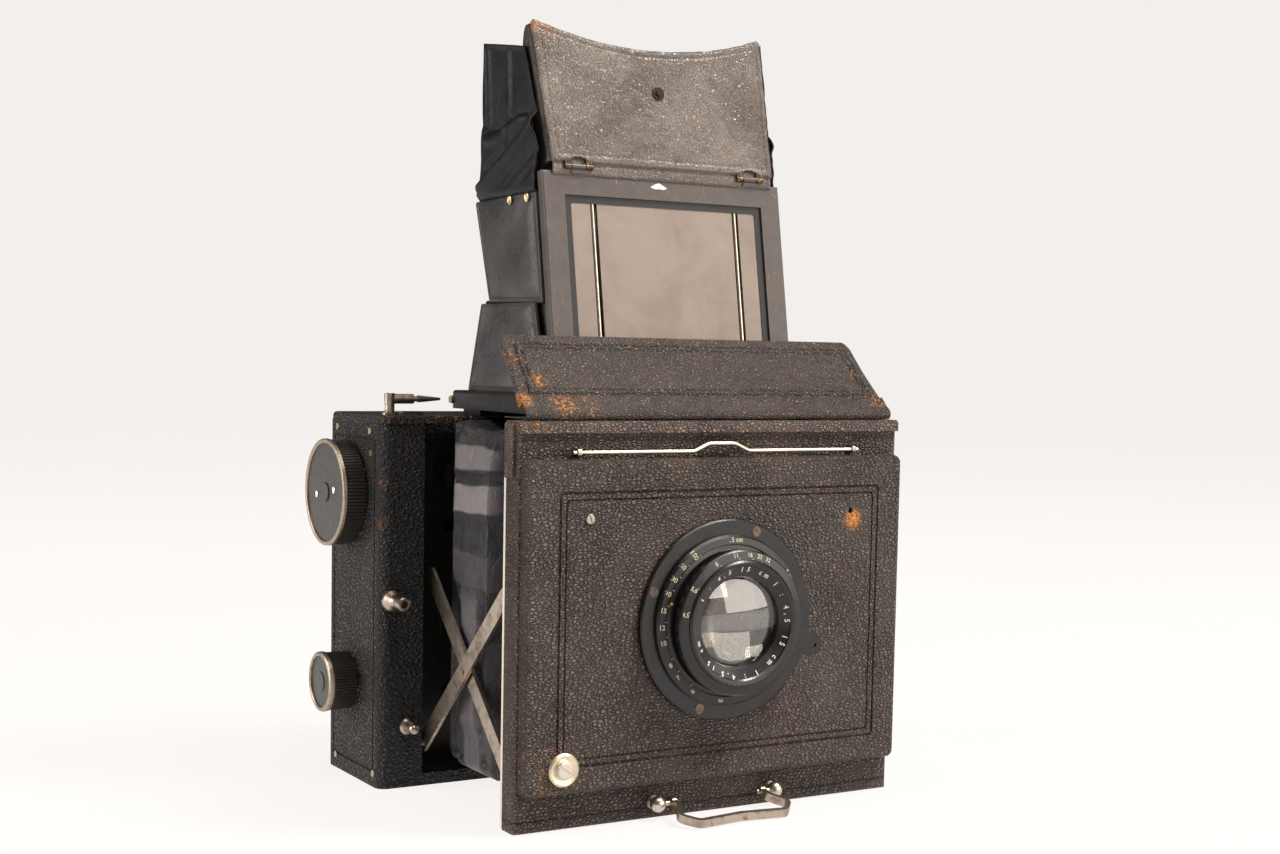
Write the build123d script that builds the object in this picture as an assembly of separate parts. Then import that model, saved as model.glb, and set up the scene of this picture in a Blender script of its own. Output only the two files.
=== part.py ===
"""Strut-folding single-lens reflex plate camera, in millimetres.

The origin is the mouth of the tripod bush in the base. +Z is up, -Y is the way the lens
looks, and +X is to the right of someone who faces the lens.
"""

import os
from math import acos, atan2, cos, pi, radians, sin, tan

from build123d import *

# ---------------------------------------------------------------- driving dimensions
BODY_W, BODY_D, BODY_H = 206.0, 55.6, 147.5
COVER_T = 3.0
WALL = 4.0
FLOOR = 5.0
MOUTH_HALF = 84.2

STAND_W, STAND_H, STAND_D = 172.6, 147.5, 9.0
STAND_GAP = 86.6
TRAVEL = 73.0
PLATE_T = 1.5
PANEL_W, PANEL_T = 170.0, 7.0
PANEL_Z = (14.0, 138.0)
PORT_HALF, PORT_Z = 62.0, (22.0, 130.0)

LENS_Z = 76.0
FLANGE_R, SCALE_R, RING_R, RIM_R, GLASS_R = 38.7, 32.9, 27.9, 23.2, 17.7

BASE_HALF, BASE_Z = 63.0, (153.0, 160.5)
HOOD_LEAN = 9.5
HOOD_PIVOT_Z = 164.0
HOOD_HALF, HOOD_LEN, HOOD_T = 55.3, 84.0, 4.0
VISOR_LEAN = 15.0
VISOR_LEN, VISOR_T = 61.0, 2.2
FLAP_HALF, FLAP_LEN, FLAP_T, FLAP_LEAN = 84.0, 38.0, 3.0, 43.5

WIND_Y, WIND_Z, WIND_R = 6.1, 118.0, 22.0
TENSION_Y, TENSION_Z, TENSION_R = 3.6, 40.0, 12.2
MODULE, WIND_TEETH, PINION_TEETH = 0.8, 30, 15
ROLLER_R = 4.5
GATE_HALF, GATE_Z = 61.0, (30.0, 122.0)

MIRROR_Y, MIRROR_Z, MIRROR_LEN, MIRROR_W = -4.4, 125.0, 96.0, 114.0
STRUT_Z, STRUT_PITCH, STRUT_LEN, STRUT_HALF_W = 17.0, 43.5, 100.0, 3.5
RUN = 0.05

# ---------------------------------------------------------------- places worked out from them
BODY_FRONT, BODY_BACK = -BODY_D / 2, BODY_D / 2
BODY_HALF = BODY_W / 2
COVER_TOP = BODY_H + COVER_T
STAND_FRONT = BODY_FRONT - STAND_GAP
STAND_BACK = STAND_FRONT + STAND_D
PLATE_BACK = STAND_BACK + PLATE_T
STAND_HALF = STAND_W / 2
PANEL_FRONT = STAND_FRONT - PANEL_T
HOOD_FRONT_Y = STAND_FRONT + 30.1
HOOD_PIVOT_Y = HOOD_FRONT_Y + HOOD_T / 2
FLAP_Y, FLAP_Z = STAND_FRONT + 2.5, 154.5

nodes = {}


# ---------------------------------------------------------------- helpers
def block(x, y, z):
    """A box from three (low, high) pairs."""
    size = [high - low for low, high in (x, y, z)]
    middle = [(high + low) / 2 for low, high in (x, y, z)]
    return Pos(*middle) * Box(*size)


def rod_x(radius, x0, x1, y, z):
    return Pos((x0 + x1) / 2, y, z) * Rot(0, 90, 0) * Cylinder(radius, abs(x1 - x0))


def rod_y(radius, y0, y1, x, z):
    return Pos(x, (y0 + y1) / 2, z) * Rot(90, 0, 0) * Cylinder(radius, abs(y1 - y0))


def rod_z(radius, z0, z1, x, y):
    return Pos(x, y, (z0 + z1) / 2) * Cylinder(radius, abs(z1 - z0))


def both_sides(shape):
    """The shape and its mirror image in the camera's middle plane."""
    return [shape, mirror(shape, about=Plane.YZ)]


def group(*shapes):
    """Separate solids that share one node."""
    solids = []
    for shape in shapes:
        for piece in shape if isinstance(shape, (list, tuple)) else [shape]:
            solids.extend(piece.solids())
    return Compound(children=solids)


def edges_along(shape, axis):
    return shape.edges().filter_by(axis)


def turned_y(profile, x, z):
    """A solid of revolution about a line along Y through (x, z).
    The profile is (radius, y) points, closed."""
    outline = make_face(Polyline([(r, y, 0) for r, y in profile], close=True))
    return Pos(x, 0, z) * revolve(outline, Axis.Y)


def border(x_half, z, y, depth, width, radius):
    """A rectangular groove, cut into a face that looks along -Y."""
    height = z[1] - z[0]
    outer = RectangleRounded(2 * x_half, height, radius)
    inner = RectangleRounded(2 * (x_half - width), height - 2 * width, radius - width / 2)
    ring = extrude(outer - inner, depth)
    return Pos(0, y, (z[0] + z[1]) / 2) * Rot(-90, 0, 0) * ring


def slotted_screw_y(radius, y, x, z, turn=0.0, proud=0.7, depth=3.0):
    """A cheese-head screw whose head looks along -Y."""
    head = rod_y(radius, y - proud, y, x, z)
    rim = head.edges().filter_by(GeomType.CIRCLE).sort_by(Axis.Y)[0]
    head = fillet(rim, proud * 0.6)
    slot = Box(2.4 * radius, proud, 0.22 * radius + 0.2)
    head -= Pos(x, y - proud, z) * Rot(0, turn, 0) * slot
    return head + rod_y(radius * 0.55, y, y + depth, x, z)


def leaned(shape, y, z, lean):
    """Takes a shape drawn upright at the origin to a hinge line, leaning back by lean degrees."""
    return Pos(0, y, z) * Rot(-lean, 0, 0) * shape


# ---------------------------------------------------------------- rear body
HOLDER_X = (-64.0, 103.4)
HOLDER_Y = (17.8, 22.8)
HOLDER_Z = (25.0, 127.0)
SLOT_Y = 17.4
UPPER_ROLLER = (13.7, 134.55)
LOWER_ROLLER = (13.7, 15.0)
ROLLER_HALF = 76.0
SOCKET_X, SOCKET_Z = -98.0, 76.5
BUTTON_X, BUTTON_Z = -91.0, 25.0
BUTTON_TRAVEL = 3.0
LEVER_X, LEVER_Y = -93.5, -13.5
BUSH_R, THREAD_R, BUSH_LEN = 7.0, 4.0, 9.0


def body_shell():
    """The wooden box, with two blocks that close its end wall above and below the holder's slot."""
    outer = block((-BODY_HALF, BODY_HALF), (BODY_FRONT, BODY_BACK - WALL), (0, BODY_H))
    front_corners = edges_along(outer, Axis.Z).sort_by(Axis.Y)[:2]
    shell = fillet(front_corners, 4.5)
    inside = block(
        (WALL - BODY_HALF, BODY_HALF - WALL),
        (BODY_FRONT + WALL, BODY_BACK),
        (FLOOR, BODY_H - WALL),
    )
    mouth = block((-MOUTH_HALF, MOUTH_HALF), (BODY_FRONT - 1, BODY_FRONT + WALL), (FLOOR, BODY_H + 1))
    shell -= inside + mouth
    shell -= block((BODY_HALF - WALL, BODY_HALF + 1), (SLOT_Y, BODY_BACK), (FLOOR, BODY_H - WALL))
    shell -= rod_x(3.0 + RUN, -BODY_HALF - 1, WALL - BODY_HALF + 1, WIND_Y, WIND_Z)
    shell -= rod_x(2.5 + RUN, -BODY_HALF - 1, WALL - BODY_HALF + 1, TENSION_Y, TENSION_Z)
    shell -= rod_z(BUSH_R, -1, FLOOR + 1, 0, 0)
    shell -= rod_y(1.3, BODY_FRONT - 1, BODY_FRONT + WALL + 1, BUTTON_X, BUTTON_Z)
    for side in (-1, 1):
        frame = block((-0.4, 0.4), (BODY_FRONT + 6, BODY_BACK - WALL - 2), (6, BODY_H - 6))
        frame -= block((-1, 1), (BODY_FRONT + 6.9, BODY_BACK - WALL - 2.9), (6.9, BODY_H - 6.9))
        shell -= Pos(side * BODY_HALF, 0, 0) * frame
    slot_blocks = []
    for block_z in ((FLOOR, 24.5), (127.5, BODY_H - WALL)):
        closing = block((BODY_HALF - WALL, BODY_HALF), (SLOT_Y, BODY_BACK - WALL), block_z)
        slot_blocks.append(closing - Pos(BODY_HALF, 0, 0) * frame)
    return group([shell] + slot_blocks)


def top_cover():
    cover = block((-BODY_HALF, BODY_HALF), (BODY_FRONT - 0.4, BODY_BACK), (BODY_H, COVER_TOP))
    cover = fillet(edges_along(cover, Axis.Z), 4.5)
    return fillet(cover.faces().sort_by(Axis.Z)[-1].edges(), 1.6)


def rear_cover():
    cover = block((-BODY_HALF, BODY_HALF), (BODY_BACK - WALL, BODY_BACK), (0, BODY_H))
    corners = edges_along(cover, Axis.Z).sort_by(Axis.Y)[-2:]
    cover = fillet(corners, 3.5)
    for inset in (7.0, 9.6):
        ring = border(BODY_HALF - inset, (inset, BODY_H - inset), 0, 0.8, 0.9, 3.0)
        cover -= Pos(0, BODY_BACK - 0.4, 0) * ring
    return cover


def body_screws():
    """Small brass screws: on both ends of the body, on the rear cover and on the hood base."""
    side = []
    for y, z in ((-21.9, 5.6), (18.6, 144.5), (-16.1, 144.0), (-17.3, 135.2), (18.6, 5.6)):
        head = rod_x(1.3, -BODY_HALF - 0.35, -BODY_HALF + 2.5, y, z)
        side.append(head - Pos(-BODY_HALF - 0.35, y, z) * Box(0.4, 3.0, 0.4))
    back = []
    for z in (12.0, 135.5):
        screw = slotted_screw_y(2.0, 0, 97.0, z, 30)
        back.append(Pos(0, BODY_BACK, 0) * mirror(screw, about=Plane.XZ))
    base = rod_x(1.6, -BASE_HALF - 0.9, -BASE_HALF + 2.5, STAND_FRONT + 107.0, 156.6)
    pieces = []
    for piece in side + back + [base]:
        pieces.extend(both_sides(piece))
    return group(pieces)


def tripod_bush():
    bush = rod_z(BUSH_R, 0, FLOOR, 0, 0) + rod_z(BUSH_R + 3, FLOOR, BUSH_LEN, 0, 0)
    return bush - rod_z(THREAD_R, -1, BUSH_LEN + 1, 0, 0)


def shutter_frame():
    """The film gate, with ears for the mirror and bearing plates for the curtain rollers."""
    plate = block((-72, 72), (3.6, 6.6), (FLOOR, BODY_H - WALL))
    plate -= block((-GATE_HALF, GATE_HALF), (0, 10), GATE_Z)
    ear = block((63.5, 66.5), (MIRROR_Y - 5, 3.6), (MIRROR_Z - 5, MIRROR_Z + 5))
    for sided in both_sides(ear):
        plate += sided
    for y, z in (UPPER_ROLLER, LOWER_ROLLER):
        bearing = block((78, 80.5), (3.6, 20.0), (z - 6, z + 6))
        bearing += block((72, 80.5), (3.6, 6.6), (z - 6, z + 6))
        for sided in both_sides(bearing):
            plate += sided
        plate -= rod_x(2.0 + RUN, -90, 90, y, z)
    return plate - rod_z(BUSH_R + 3.3, 0, BUSH_LEN + 0.3, 0, 0)


def pivot_pins():
    """Pins that the mirror and the rear struts turn on."""
    mirror_pin = rod_x(2.0, 55.6, 66.5, MIRROR_Y, MIRROR_Z)
    strut_pin = rod_x(1.3, 81.42, MOUTH_HALF + 3, BODY_FRONT + 2, STRUT_Z)
    head = rod_x(2.4, 81.42, 81.85, BODY_FRONT + 2, STRUT_Z)
    return group(both_sides(mirror_pin), both_sides(strut_pin + head))


def curtain():
    """Rubberised cloth curtain with its exposing slit."""
    cloth = block((-70, 70), (8.2, 8.8), (LOWER_ROLLER[1] - 1, UPPER_ROLLER[1] + 1))
    return cloth - block((-60, 60), (8, 9), (100, 104.5))


def involute_gear(teeth, width, bore, phase):
    """A spur gear with 20 degree involute teeth, in the YZ plane, one tooth at angle phase."""
    pitch_r = MODULE * teeth / 2
    base_r = pitch_r * cos(radians(20))
    root_r, tip_r = pitch_r - 1.25 * MODULE, pitch_r + 0.9 * MODULE
    half_tooth = pi / (2 * teeth) - 0.09 / (2 * pitch_r)

    def involute(angle):
        return tan(angle) - angle

    start_r = max(base_r, root_r)
    flank = []
    for step in range(6):
        r = start_r + (tip_r - start_r) * step / 5
        lean = half_tooth + involute(radians(20)) - involute(acos(min(1.0, base_r / r)))
        flank.append((r, lean))
    if root_r < base_r:
        flank.insert(0, (root_r, flank[0][1]))
    outline = []
    for tooth in range(teeth):
        middle = phase + 2 * pi * tooth / teeth
        for r, lean in flank:
            outline.append((r * cos(middle - lean), r * sin(middle - lean)))
        for r, lean in reversed(flank):
            outline.append((r * cos(middle + lean), r * sin(middle + lean)))
    face = make_face(Polyline(outline, close=True))
    face -= Circle(bore)
    return Plane.YZ * extrude(face, width)


MESH_ANGLE = atan2(UPPER_ROLLER[1] - WIND_Z, UPPER_ROLLER[0] - WIND_Y)
GEAR_X = -90.0


def winding_gear():
    """The winding shaft and the gear on its inner end."""
    gear = involute_gear(WIND_TEETH, 4.0, 2.0, MESH_ANGLE)
    shaft = rod_x(3.0, -110.0, GEAR_X + 8, WIND_Y, WIND_Z)
    return Pos(GEAR_X, WIND_Y, WIND_Z) * gear + shaft


def upper_roller():
    """Curtain roller, its journals and its pinion."""
    y, z = UPPER_ROLLER
    pinion = involute_gear(PINION_TEETH, 4.0, 1.5, MESH_ANGLE + pi + pi / PINION_TEETH)
    roller = rod_x(ROLLER_R, -ROLLER_HALF, ROLLER_HALF, y, z) + rod_x(2.0, GEAR_X, 82.0, y, z)
    return roller + Pos(GEAR_X, y, z) * pinion


def lower_roller():
    y, z = LOWER_ROLLER
    return rod_x(ROLLER_R, -ROLLER_HALF, ROLLER_HALF, y, z) + rod_x(2.0, -82.0, 82.0, y, z)


def ribbed_disc(radius, depth, ribs, x0, x1, y, z):
    """A knob body with straight knurling."""
    outline = []
    for rib in range(ribs):
        for share, r in ((0.0, radius - depth), (0.3, radius), (0.7, radius)):
            angle = 2 * pi * (rib + share) / ribs
            outline.append((r * cos(angle), r * sin(angle)))
    face = make_face(Polyline(outline, close=True))
    return Pos(x0, y, z) * (Plane.YZ * extrude(face, x1 - x0))


def winding_knob():
    knob = ribbed_disc(WIND_R - 0.4, 0.45, 96, -112.4, -104.2, WIND_Y, WIND_Z)
    return knob - rod_x(3.0, -110.0, -100, WIND_Y, WIND_Z)


def knob_rim():
    """A bright rounded ring on the face of the winding knob."""
    ring = rod_x(WIND_R, -113.9, -112.4, WIND_Y, WIND_Z)
    ring -= rod_x(WIND_R - 1.9, -115, -111, WIND_Y, WIND_Z)
    return fillet(ring.edges().filter_by(GeomType.CIRCLE).group_by(Axis.X)[0], 0.6)


def knob_dial():
    dial = rod_x(WIND_R - 1.95, -113.2, -112.4, WIND_Y, WIND_Z)
    boss = rod_x(4.0, -113.7, -113.2, WIND_Y, WIND_Z)
    return dial + fillet(boss.edges().filter_by(GeomType.CIRCLE).group_by(Axis.X)[0], 0.3)


def tension_knob():
    """The knob, its turned face and the ratchet shaft that it is pinned to."""
    knob = ribbed_disc(TENSION_R - 0.3, 0.4, 60, -113.6, -104.2, TENSION_Y, TENSION_Z)
    lip = rod_x(TENSION_R, -116.2, -113.6, TENSION_Y, TENSION_Z)
    lip = fillet(lip.edges().filter_by(GeomType.CIRCLE).group_by(Axis.X)[0], 0.7)
    lip -= rod_x(TENSION_R - 1.6, -117, -115.6, TENSION_Y, TENSION_Z)
    shaft = rod_x(2.5, -104.2, -88.0, TENSION_Y, TENSION_Z)
    ratchet = rod_x(8.0, -94.0, -91.5, TENSION_Y, TENSION_Z)
    for tooth in range(12):
        cut = Pos(0, 0, 8.2) * Rot(30, 0, 0) * Box(6, 3.0, 1.6)
        ratchet -= Pos(-92.7, TENSION_Y, TENSION_Z) * Rot(30 * tooth, 0, 0) * cut
    return knob + lip + shaft + ratchet


def release_post():
    foot = rod_z(3.2, COVER_TOP, COVER_TOP + 0.8, LEVER_X, LEVER_Y)
    post = rod_z(2.0, COVER_TOP + 0.8, 154.6, LEVER_X, LEVER_Y)
    neck = rod_z(1.2, 154.6, 158.6, LEVER_X, LEVER_Y)
    rest = block((-88.5, -79.5), (LEVER_Y - 1.8, LEVER_Y + 1.8), (COVER_TOP, COVER_TOP + 1.4))
    return group(foot + post + neck, rest)


def release_lever():
    hub = rod_z(2.2, 154.7, 159.2, LEVER_X, LEVER_Y)
    hub = fillet(hub.edges().filter_by(GeomType.CIRCLE).sort_by(Axis.Z)[-1], 0.4)
    barrel = rod_x(2.0, LEVER_X + 1.2, LEVER_X + 10.2, LEVER_Y, 156.9)
    neck = rod_x(1.1, LEVER_X + 10.2, LEVER_X + 12.2, LEVER_Y, 156.9)
    point = Pos(LEVER_X + 17.2, LEVER_Y, 156.9) * Rot(0, 90, 0) * Cone(1.5, 0.55, 10.0)
    arm = hub + barrel + neck + point
    return arm - rod_z(1.2 + RUN, 150, 160, LEVER_X, LEVER_Y)


def cable_release_socket():
    y = BODY_FRONT
    profile = [(0, y), (4.2, y), (4.2, y - 1.4), (2.9, y - 3.4), (2.1, y - 6.0), (2.1, y - 8.6)]
    profile += [(2.7, y - 9.2), (2.7, y - 12.4), (2.3, y - 12.8), (0, y - 12.8)]
    socket = turned_y(profile, SOCKET_X, SOCKET_Z)
    return socket - rod_y(1.5, y - 13, y - 4.8, SOCKET_X, SOCKET_Z)


def button_sleeve():
    y = BODY_FRONT
    profile = [(0, y), (3.3, y), (3.3, y - 0.8), (2.4, y - 1.6), (0, y - 1.6)]
    sleeve = turned_y(profile, BUTTON_X, BUTTON_Z)
    return sleeve - rod_y(1.1 + RUN, y - 2, y + 1, BUTTON_X, BUTTON_Z)


def mirror_button():
    y = BODY_FRONT - 1.6 - BUTTON_TRAVEL
    stem = rod_y(1.1, y - 2.0, BODY_FRONT + WALL + 3, BUTTON_X, BUTTON_Z)
    stop = rod_y(2.2, BODY_FRONT + WALL + 0.2, BODY_FRONT + WALL + 1.2, BUTTON_X, BUTTON_Z)
    ball = Pos(BUTTON_X, y - 2.6, BUTTON_Z) * Sphere(2.1)
    return stem + stop + ball


def plate_holder():
    holder = block(HOLDER_X, HOLDER_Y, HOLDER_Z)
    grip = block((103.4, 108.0), (16.6, 24.6), (22.0, 130.0))
    holder += fillet(edges_along(grip, Axis.Z), 1.2)
    holder -= block((-60, 60), (HOLDER_Y[0] - 1, 18.5), (31, 121))
    holder -= block((-62, 108.2), (18.5, 19.7), (29.5, 122.5))
    holder -= block((-59, 59), (19.5, 20.3), (32, 120))
    return holder - block((-60.5, 60.5), (20.2, 21.6), (30.5, 121.5))


def dark_slide():
    sheet = block((-61.5, 108.6), (18.8, 19.4), (30.0, 122.0))
    return sheet + block((108.4, 111.4), (17.8, 20.6), (52.0, 100.0))


# ---------------------------------------------------------------- hood base and flap
def hood_base():
    base_y = (STAND_FRONT + 14.0, STAND_FRONT + 110.0)
    base = block((-BASE_HALF, BASE_HALF), base_y, BASE_Z)
    base = fillet(edges_along(base, Axis.Z).sort_by(Axis.Y)[-2:], 5.0)
    base = fillet(base.faces().sort_by(Axis.Z)[-1].edges(), 1.2)
    base -= block((-54, 54), (base_y[0] + 9, BODY_FRONT - 2), (150, 163))
    base -= block((-57, 57), (base_y[0] + 6, BODY_FRONT + 1), (BASE_Z[0] - 1, BASE_Z[0] + 3.2))
    base += block((-58, 58), (BODY_FRONT + 3.6, BODY_FRONT + 19.6), (COVER_TOP, BASE_Z[0]))
    ear_y = (HOOD_PIVOT_Y - 3.0, HOOD_PIVOT_Y + 3.0)
    ear = block((48.0, 51.8), ear_y, (BASE_Z[1] - 3.0, HOOD_PIVOT_Z + 2.4))
    ear += block((48.0, 54.5), ear_y, (BASE_Z[1] - 3.0, BASE_Z[1] - 0.4))
    for sided in both_sides(ear):
        base += sided
    return base - rod_x(1.3, -60, 60, HOOD_PIVOT_Y, HOOD_PIVOT_Z)


def ground_glass():
    return block(
        (-56.8, 56.8),
        (STAND_FRONT + 20.2, BODY_FRONT + 0.8),
        (BASE_Z[0] + 0.5, BASE_Z[0] + 3.2),
    )


def flap_hinge():
    """The leaf under the front of the hood base, its middle knuckles and the pin."""
    leaf = block((-FLAP_HALF + 2, FLAP_HALF - 2), (FLAP_Y, STAND_FRONT + 20.0), (152.6, 152.9))
    leaf += block((-BASE_HALF, BASE_HALF), (FLAP_Y + 2.4, STAND_FRONT + 14.0), (152.8, 153.7))
    leaf += block((-BASE_HALF, BASE_HALF), (STAND_FRONT + 13.5, STAND_FRONT + 20.0), (152.8, 153.0))
    pin = rod_x(0.8, -80, 80, FLAP_Y, FLAP_Z)
    for x in (-70, -35, 0, 35, 70):
        leaf += rod_x(1.5, x - 6, x + 6, FLAP_Y, FLAP_Z)
        leaf += block((x - 6, x + 6), (FLAP_Y, FLAP_Y + 1.5), (152.7, FLAP_Z))
    return leaf + pin


def top_flap():
    """A stiff leather covered flap, drawn upright above its hinge line."""
    top = FLAP_LEN + 1.0
    sketch = Polyline(
        [(-FLAP_HALF, 3.0), (FLAP_HALF, 3.0), (FLAP_HALF - 2.5, top), (2.5 - FLAP_HALF, top)],
        close=True,
    )
    plate = Rot(90, 0, 0) * extrude(make_face(sketch), FLAP_T / 2, both=True)
    corners = edges_along(plate, Axis.Y).sort_by(Axis.Z)[-2:]
    plate = fillet(corners, 5.0)
    plate = fillet(plate.faces().sort_by(Axis.Y)[0].edges(), 1.0)
    for inset in (5.0, 7.4):
        frame = border(FLAP_HALF - 2.5 - inset, (3.0 + inset, top - inset), 0, 0.8, 0.8, 1.5)
        plate -= Pos(0, -FLAP_T / 2 - 0.4, 0) * frame
    for x in (-52.5, -17.5, 17.5, 52.5):
        arm = block((x - 6, x + 6), (-0.6, FLAP_T / 2), (0, 4.0)) + rod_x(1.5, x - 6, x + 6, 0, 0)
        plate += arm
    plate -= rod_x(0.8 + RUN, -100, 100, 0, 0)
    return leaned(plate, FLAP_Y, FLAP_Z, FLAP_LEAN)


# ---------------------------------------------------------------- focusing hood
VISOR_HINGE_W = HOOD_LEN + 1.6
VISOR_OUT = 1.4
FINDER_W = (9.0, 74.8)
ROD_X = (-33.2, 33.4)


def hood_frame_place(shape):
    return leaned(shape, HOOD_PIVOT_Y, HOOD_PIVOT_Z, HOOD_LEAN)


def hood_front_frame():
    half_t = HOOD_T / 2
    frame = block((-HOOD_HALF, HOOD_HALF), (-half_t, half_t), (2.2, HOOD_LEN))
    frame = fillet(frame.faces().sort_by(Axis.Y)[0].outer_wire().edges(), 0.6)
    frame -= block((-46, 46), (-5, 5), FINDER_W)
    for x in ROD_X:
        frame -= rod_z(0.75, FINDER_W[0] - 1, FINDER_W[1] + 1, x, -0.1)
    for x in (-50.0, 50.0):
        frame -= block((x - 2.2, x + 2.2), (-5, 5), (-5, 5.2))
    for x in (-46.6, 46.6):
        frame += rod_x(2.0, x - 1.2, x + 1.2, 0, 0) + block((x - 1.2, x + 1.2), (-2, 2), (0, 3.0))
    frame += rod_x(1.2, -51.8, 51.8, 0, 0)
    frame -= block((-45.4, 45.4), (-3, 3), (-2, 2.0))
    hinge_y = -half_t - VISOR_OUT
    for x in (-40, 40):
        knuckle = rod_x(1.2, x - 3, x + 3, hinge_y, VISOR_HINGE_W)
        frame += knuckle + block((x - 3, x + 3), (hinge_y, 1 - half_t), (HOOD_LEN - 1, VISOR_HINGE_W))
        frame -= rod_x(0.55 + RUN, x - 4, x + 4, hinge_y, VISOR_HINGE_W)
    return hood_frame_place(frame)


def finder_plates():
    """Three satin plates that close the frame's opening, with a slit beside each bright rod."""
    plates = []
    for x0, x1 in ((-46.0, -34.4), (-31.4, 31.9), (34.9, 46.0)):
        plates.append(hood_frame_place(block((x0, x1), (-0.8, 0.4), FINDER_W)))
    return group(plates)


def finder_rods():
    rods = [rod_z(0.75, FINDER_W[0] - 1, FINDER_W[1] + 1, x, -0.1) for x in ROD_X]
    return group([hood_frame_place(rod) for rod in rods])


def visor_fittings():
    """The press stud of the visor and the outer knuckles and pins of its hinges."""
    lean = VISOR_LEAN
    y, z = visor_line()
    stud = rod_y(2.7, -VISOR_T / 2 - 0.7, -VISOR_T / 2, 0, 33.0)
    stud += rod_y(1.2, -VISOR_T / 2 - 1.3, VISOR_T / 2 + 0.8, 0, 33.0)
    pieces = [leaned(stud, y, z, lean)]
    for x in (-40, 40):
        pin = rod_x(0.55, x - 5.8, x + 5.8, 0, 0)
        ends = rod_x(1.2, x - 6.3, x - 3.3, 0, 0) + rod_x(1.2, x + 3.3, x + 6.3, 0, 0)
        for x0 in (x - 6.3, x + 3.3):
            ends += block((x0, x0 + 3.0), (-1.0, 1.0), (0, 3.4))
        pieces.append(leaned(pin + ends, y, z, lean))
    return group(pieces)


def visor_line():
    """Where the visor's hinge line is, in the camera's frame."""
    lean = radians(HOOD_LEAN)
    out = -HOOD_T / 2 - VISOR_OUT
    y = HOOD_PIVOT_Y + out * cos(lean) + VISOR_HINGE_W * sin(lean)
    z = HOOD_PIVOT_Z - out * sin(lean) + VISOR_HINGE_W * cos(lean)
    return y, z


def visor():
    top_half, low_half = 54.2, 51.6
    edges = [
        Polyline([(-top_half, VISOR_LEN), (-low_half, 1.6), (low_half, 1.6), (top_half, VISOR_LEN)]),
        ThreePointArc((top_half, VISOR_LEN), (0, VISOR_LEN - 10.5), (-top_half, VISOR_LEN)),
    ]
    plate = Rot(90, 0, 0) * extrude(make_face(edges), VISOR_T / 2, both=True)
    for x in (-40, 40):
        plate -= block((x - 6.8, x + 6.8), (-3, 3), (0, 3.4))
    plate -= rod_y(1.2, -5, 5, 0, 33.0)
    y, z = visor_line()
    return leaned(plate, y, z, VISOR_LEAN)


def hood_walls(z, half, front, back, thickness):
    """One tier of the leather hood: two sides and a back, open in front and at both ends.
    front and back are the Y places at the lower and the upper edge."""
    def loop(level, grow):
        return [
            (-half - grow, front[level], z[level]),
            (-half - grow, back[level] + grow, z[level]),
            (half + grow, back[level] + grow, z[level]),
            (half + grow, front[level], z[level]),
        ]

    def prism(grow):
        faces = [make_face(Polyline(loop(level, grow), close=True)) for level in (0, 1)]
        return loft(faces)

    return prism(0) - prism(-thickness)


def tier(front_in, back_in):
    return tuple(STAND_FRONT + y for y in front_in), tuple(STAND_FRONT + y for y in back_in)


def hood_lower_walls():
    front, back = tier((39.0, 43.5), (102.6, 96.2))
    return hood_walls((160.5, 196.4), 57.0, front, back, 1.4)


def hood_middle_walls():
    front, back = tier((43.5, 50.5), (88.5, 103.4))
    return hood_walls((196.4, 239.2), 56.6, front, back, 1.4)


def hood_upper_walls():
    front, back = tier((52.5, 62.5), (101.0, 95.0))
    return hood_walls((239.2, 303.5), 56.0, front, back, 1.0)


# ---------------------------------------------------------------- front standard
STUD_X, STUD_Z = 27.0, 6.2
BAIL_X, BAIL_Y = 20.5, STAND_FRONT - 4.5
LATCH_Y, LATCH_Z, LATCH_R = STAND_FRONT - 2.3, 140.4, 0.8
STRUT_REAR_X, STRUT_FRONT_X, STRUT_T = 82.6, 80.4, 1.4


def strut_slots():
    """Slots for the upper ends of the rear struts."""
    slot = block((81.2, 84.2), (STAND_FRONT + 2.5, PLATE_BACK + 1), (60, 126))
    return slot + mirror(slot, about=Plane.YZ)


def front_frame():
    frame = block((-STAND_HALF, STAND_HALF), (STAND_FRONT, STAND_BACK), (0, STAND_H))
    frame = fillet(edges_along(frame, Axis.Z).sort_by(Axis.Y)[:2], 1.6)
    frame -= block((-PORT_HALF, PORT_HALF), (STAND_FRONT - 1, STAND_BACK + 1), PORT_Z)
    return frame - strut_slots()


def back_plate():
    plate = block((-STAND_HALF - 0.2, STAND_HALF + 0.2), (STAND_BACK, PLATE_BACK), (0.4, STAND_H - 0.5))
    plate -= block((-PORT_HALF, PORT_HALF), (STAND_FRONT - 1, PLATE_BACK + 1), PORT_Z)
    return plate - strut_slots()


def lens_panel():
    half = PANEL_W / 2
    panel = block((-half, half), (PANEL_FRONT, STAND_FRONT), PANEL_Z)
    panel = fillet(edges_along(panel, Axis.Y), 3.0)
    panel = fillet(panel.faces().sort_by(Axis.Y)[0].edges(), 3.2)
    for inset, width in ((12.2, 1.0), (15.0, 0.7)):
        z = (PANEL_Z[0] + inset - 1.8, PANEL_Z[1] - inset + 0.7)
        panel -= border(half - inset, z, PANEL_FRONT, 0.5, width, 1.6)
    panel -= rod_y(30.0, PANEL_FRONT - 1, STAND_FRONT + 1, 0, LENS_Z)
    panel -= rod_y(1.2, PANEL_FRONT - 1, PANEL_FRONT + 3, 59.0, 116.3)
    return panel


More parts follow.
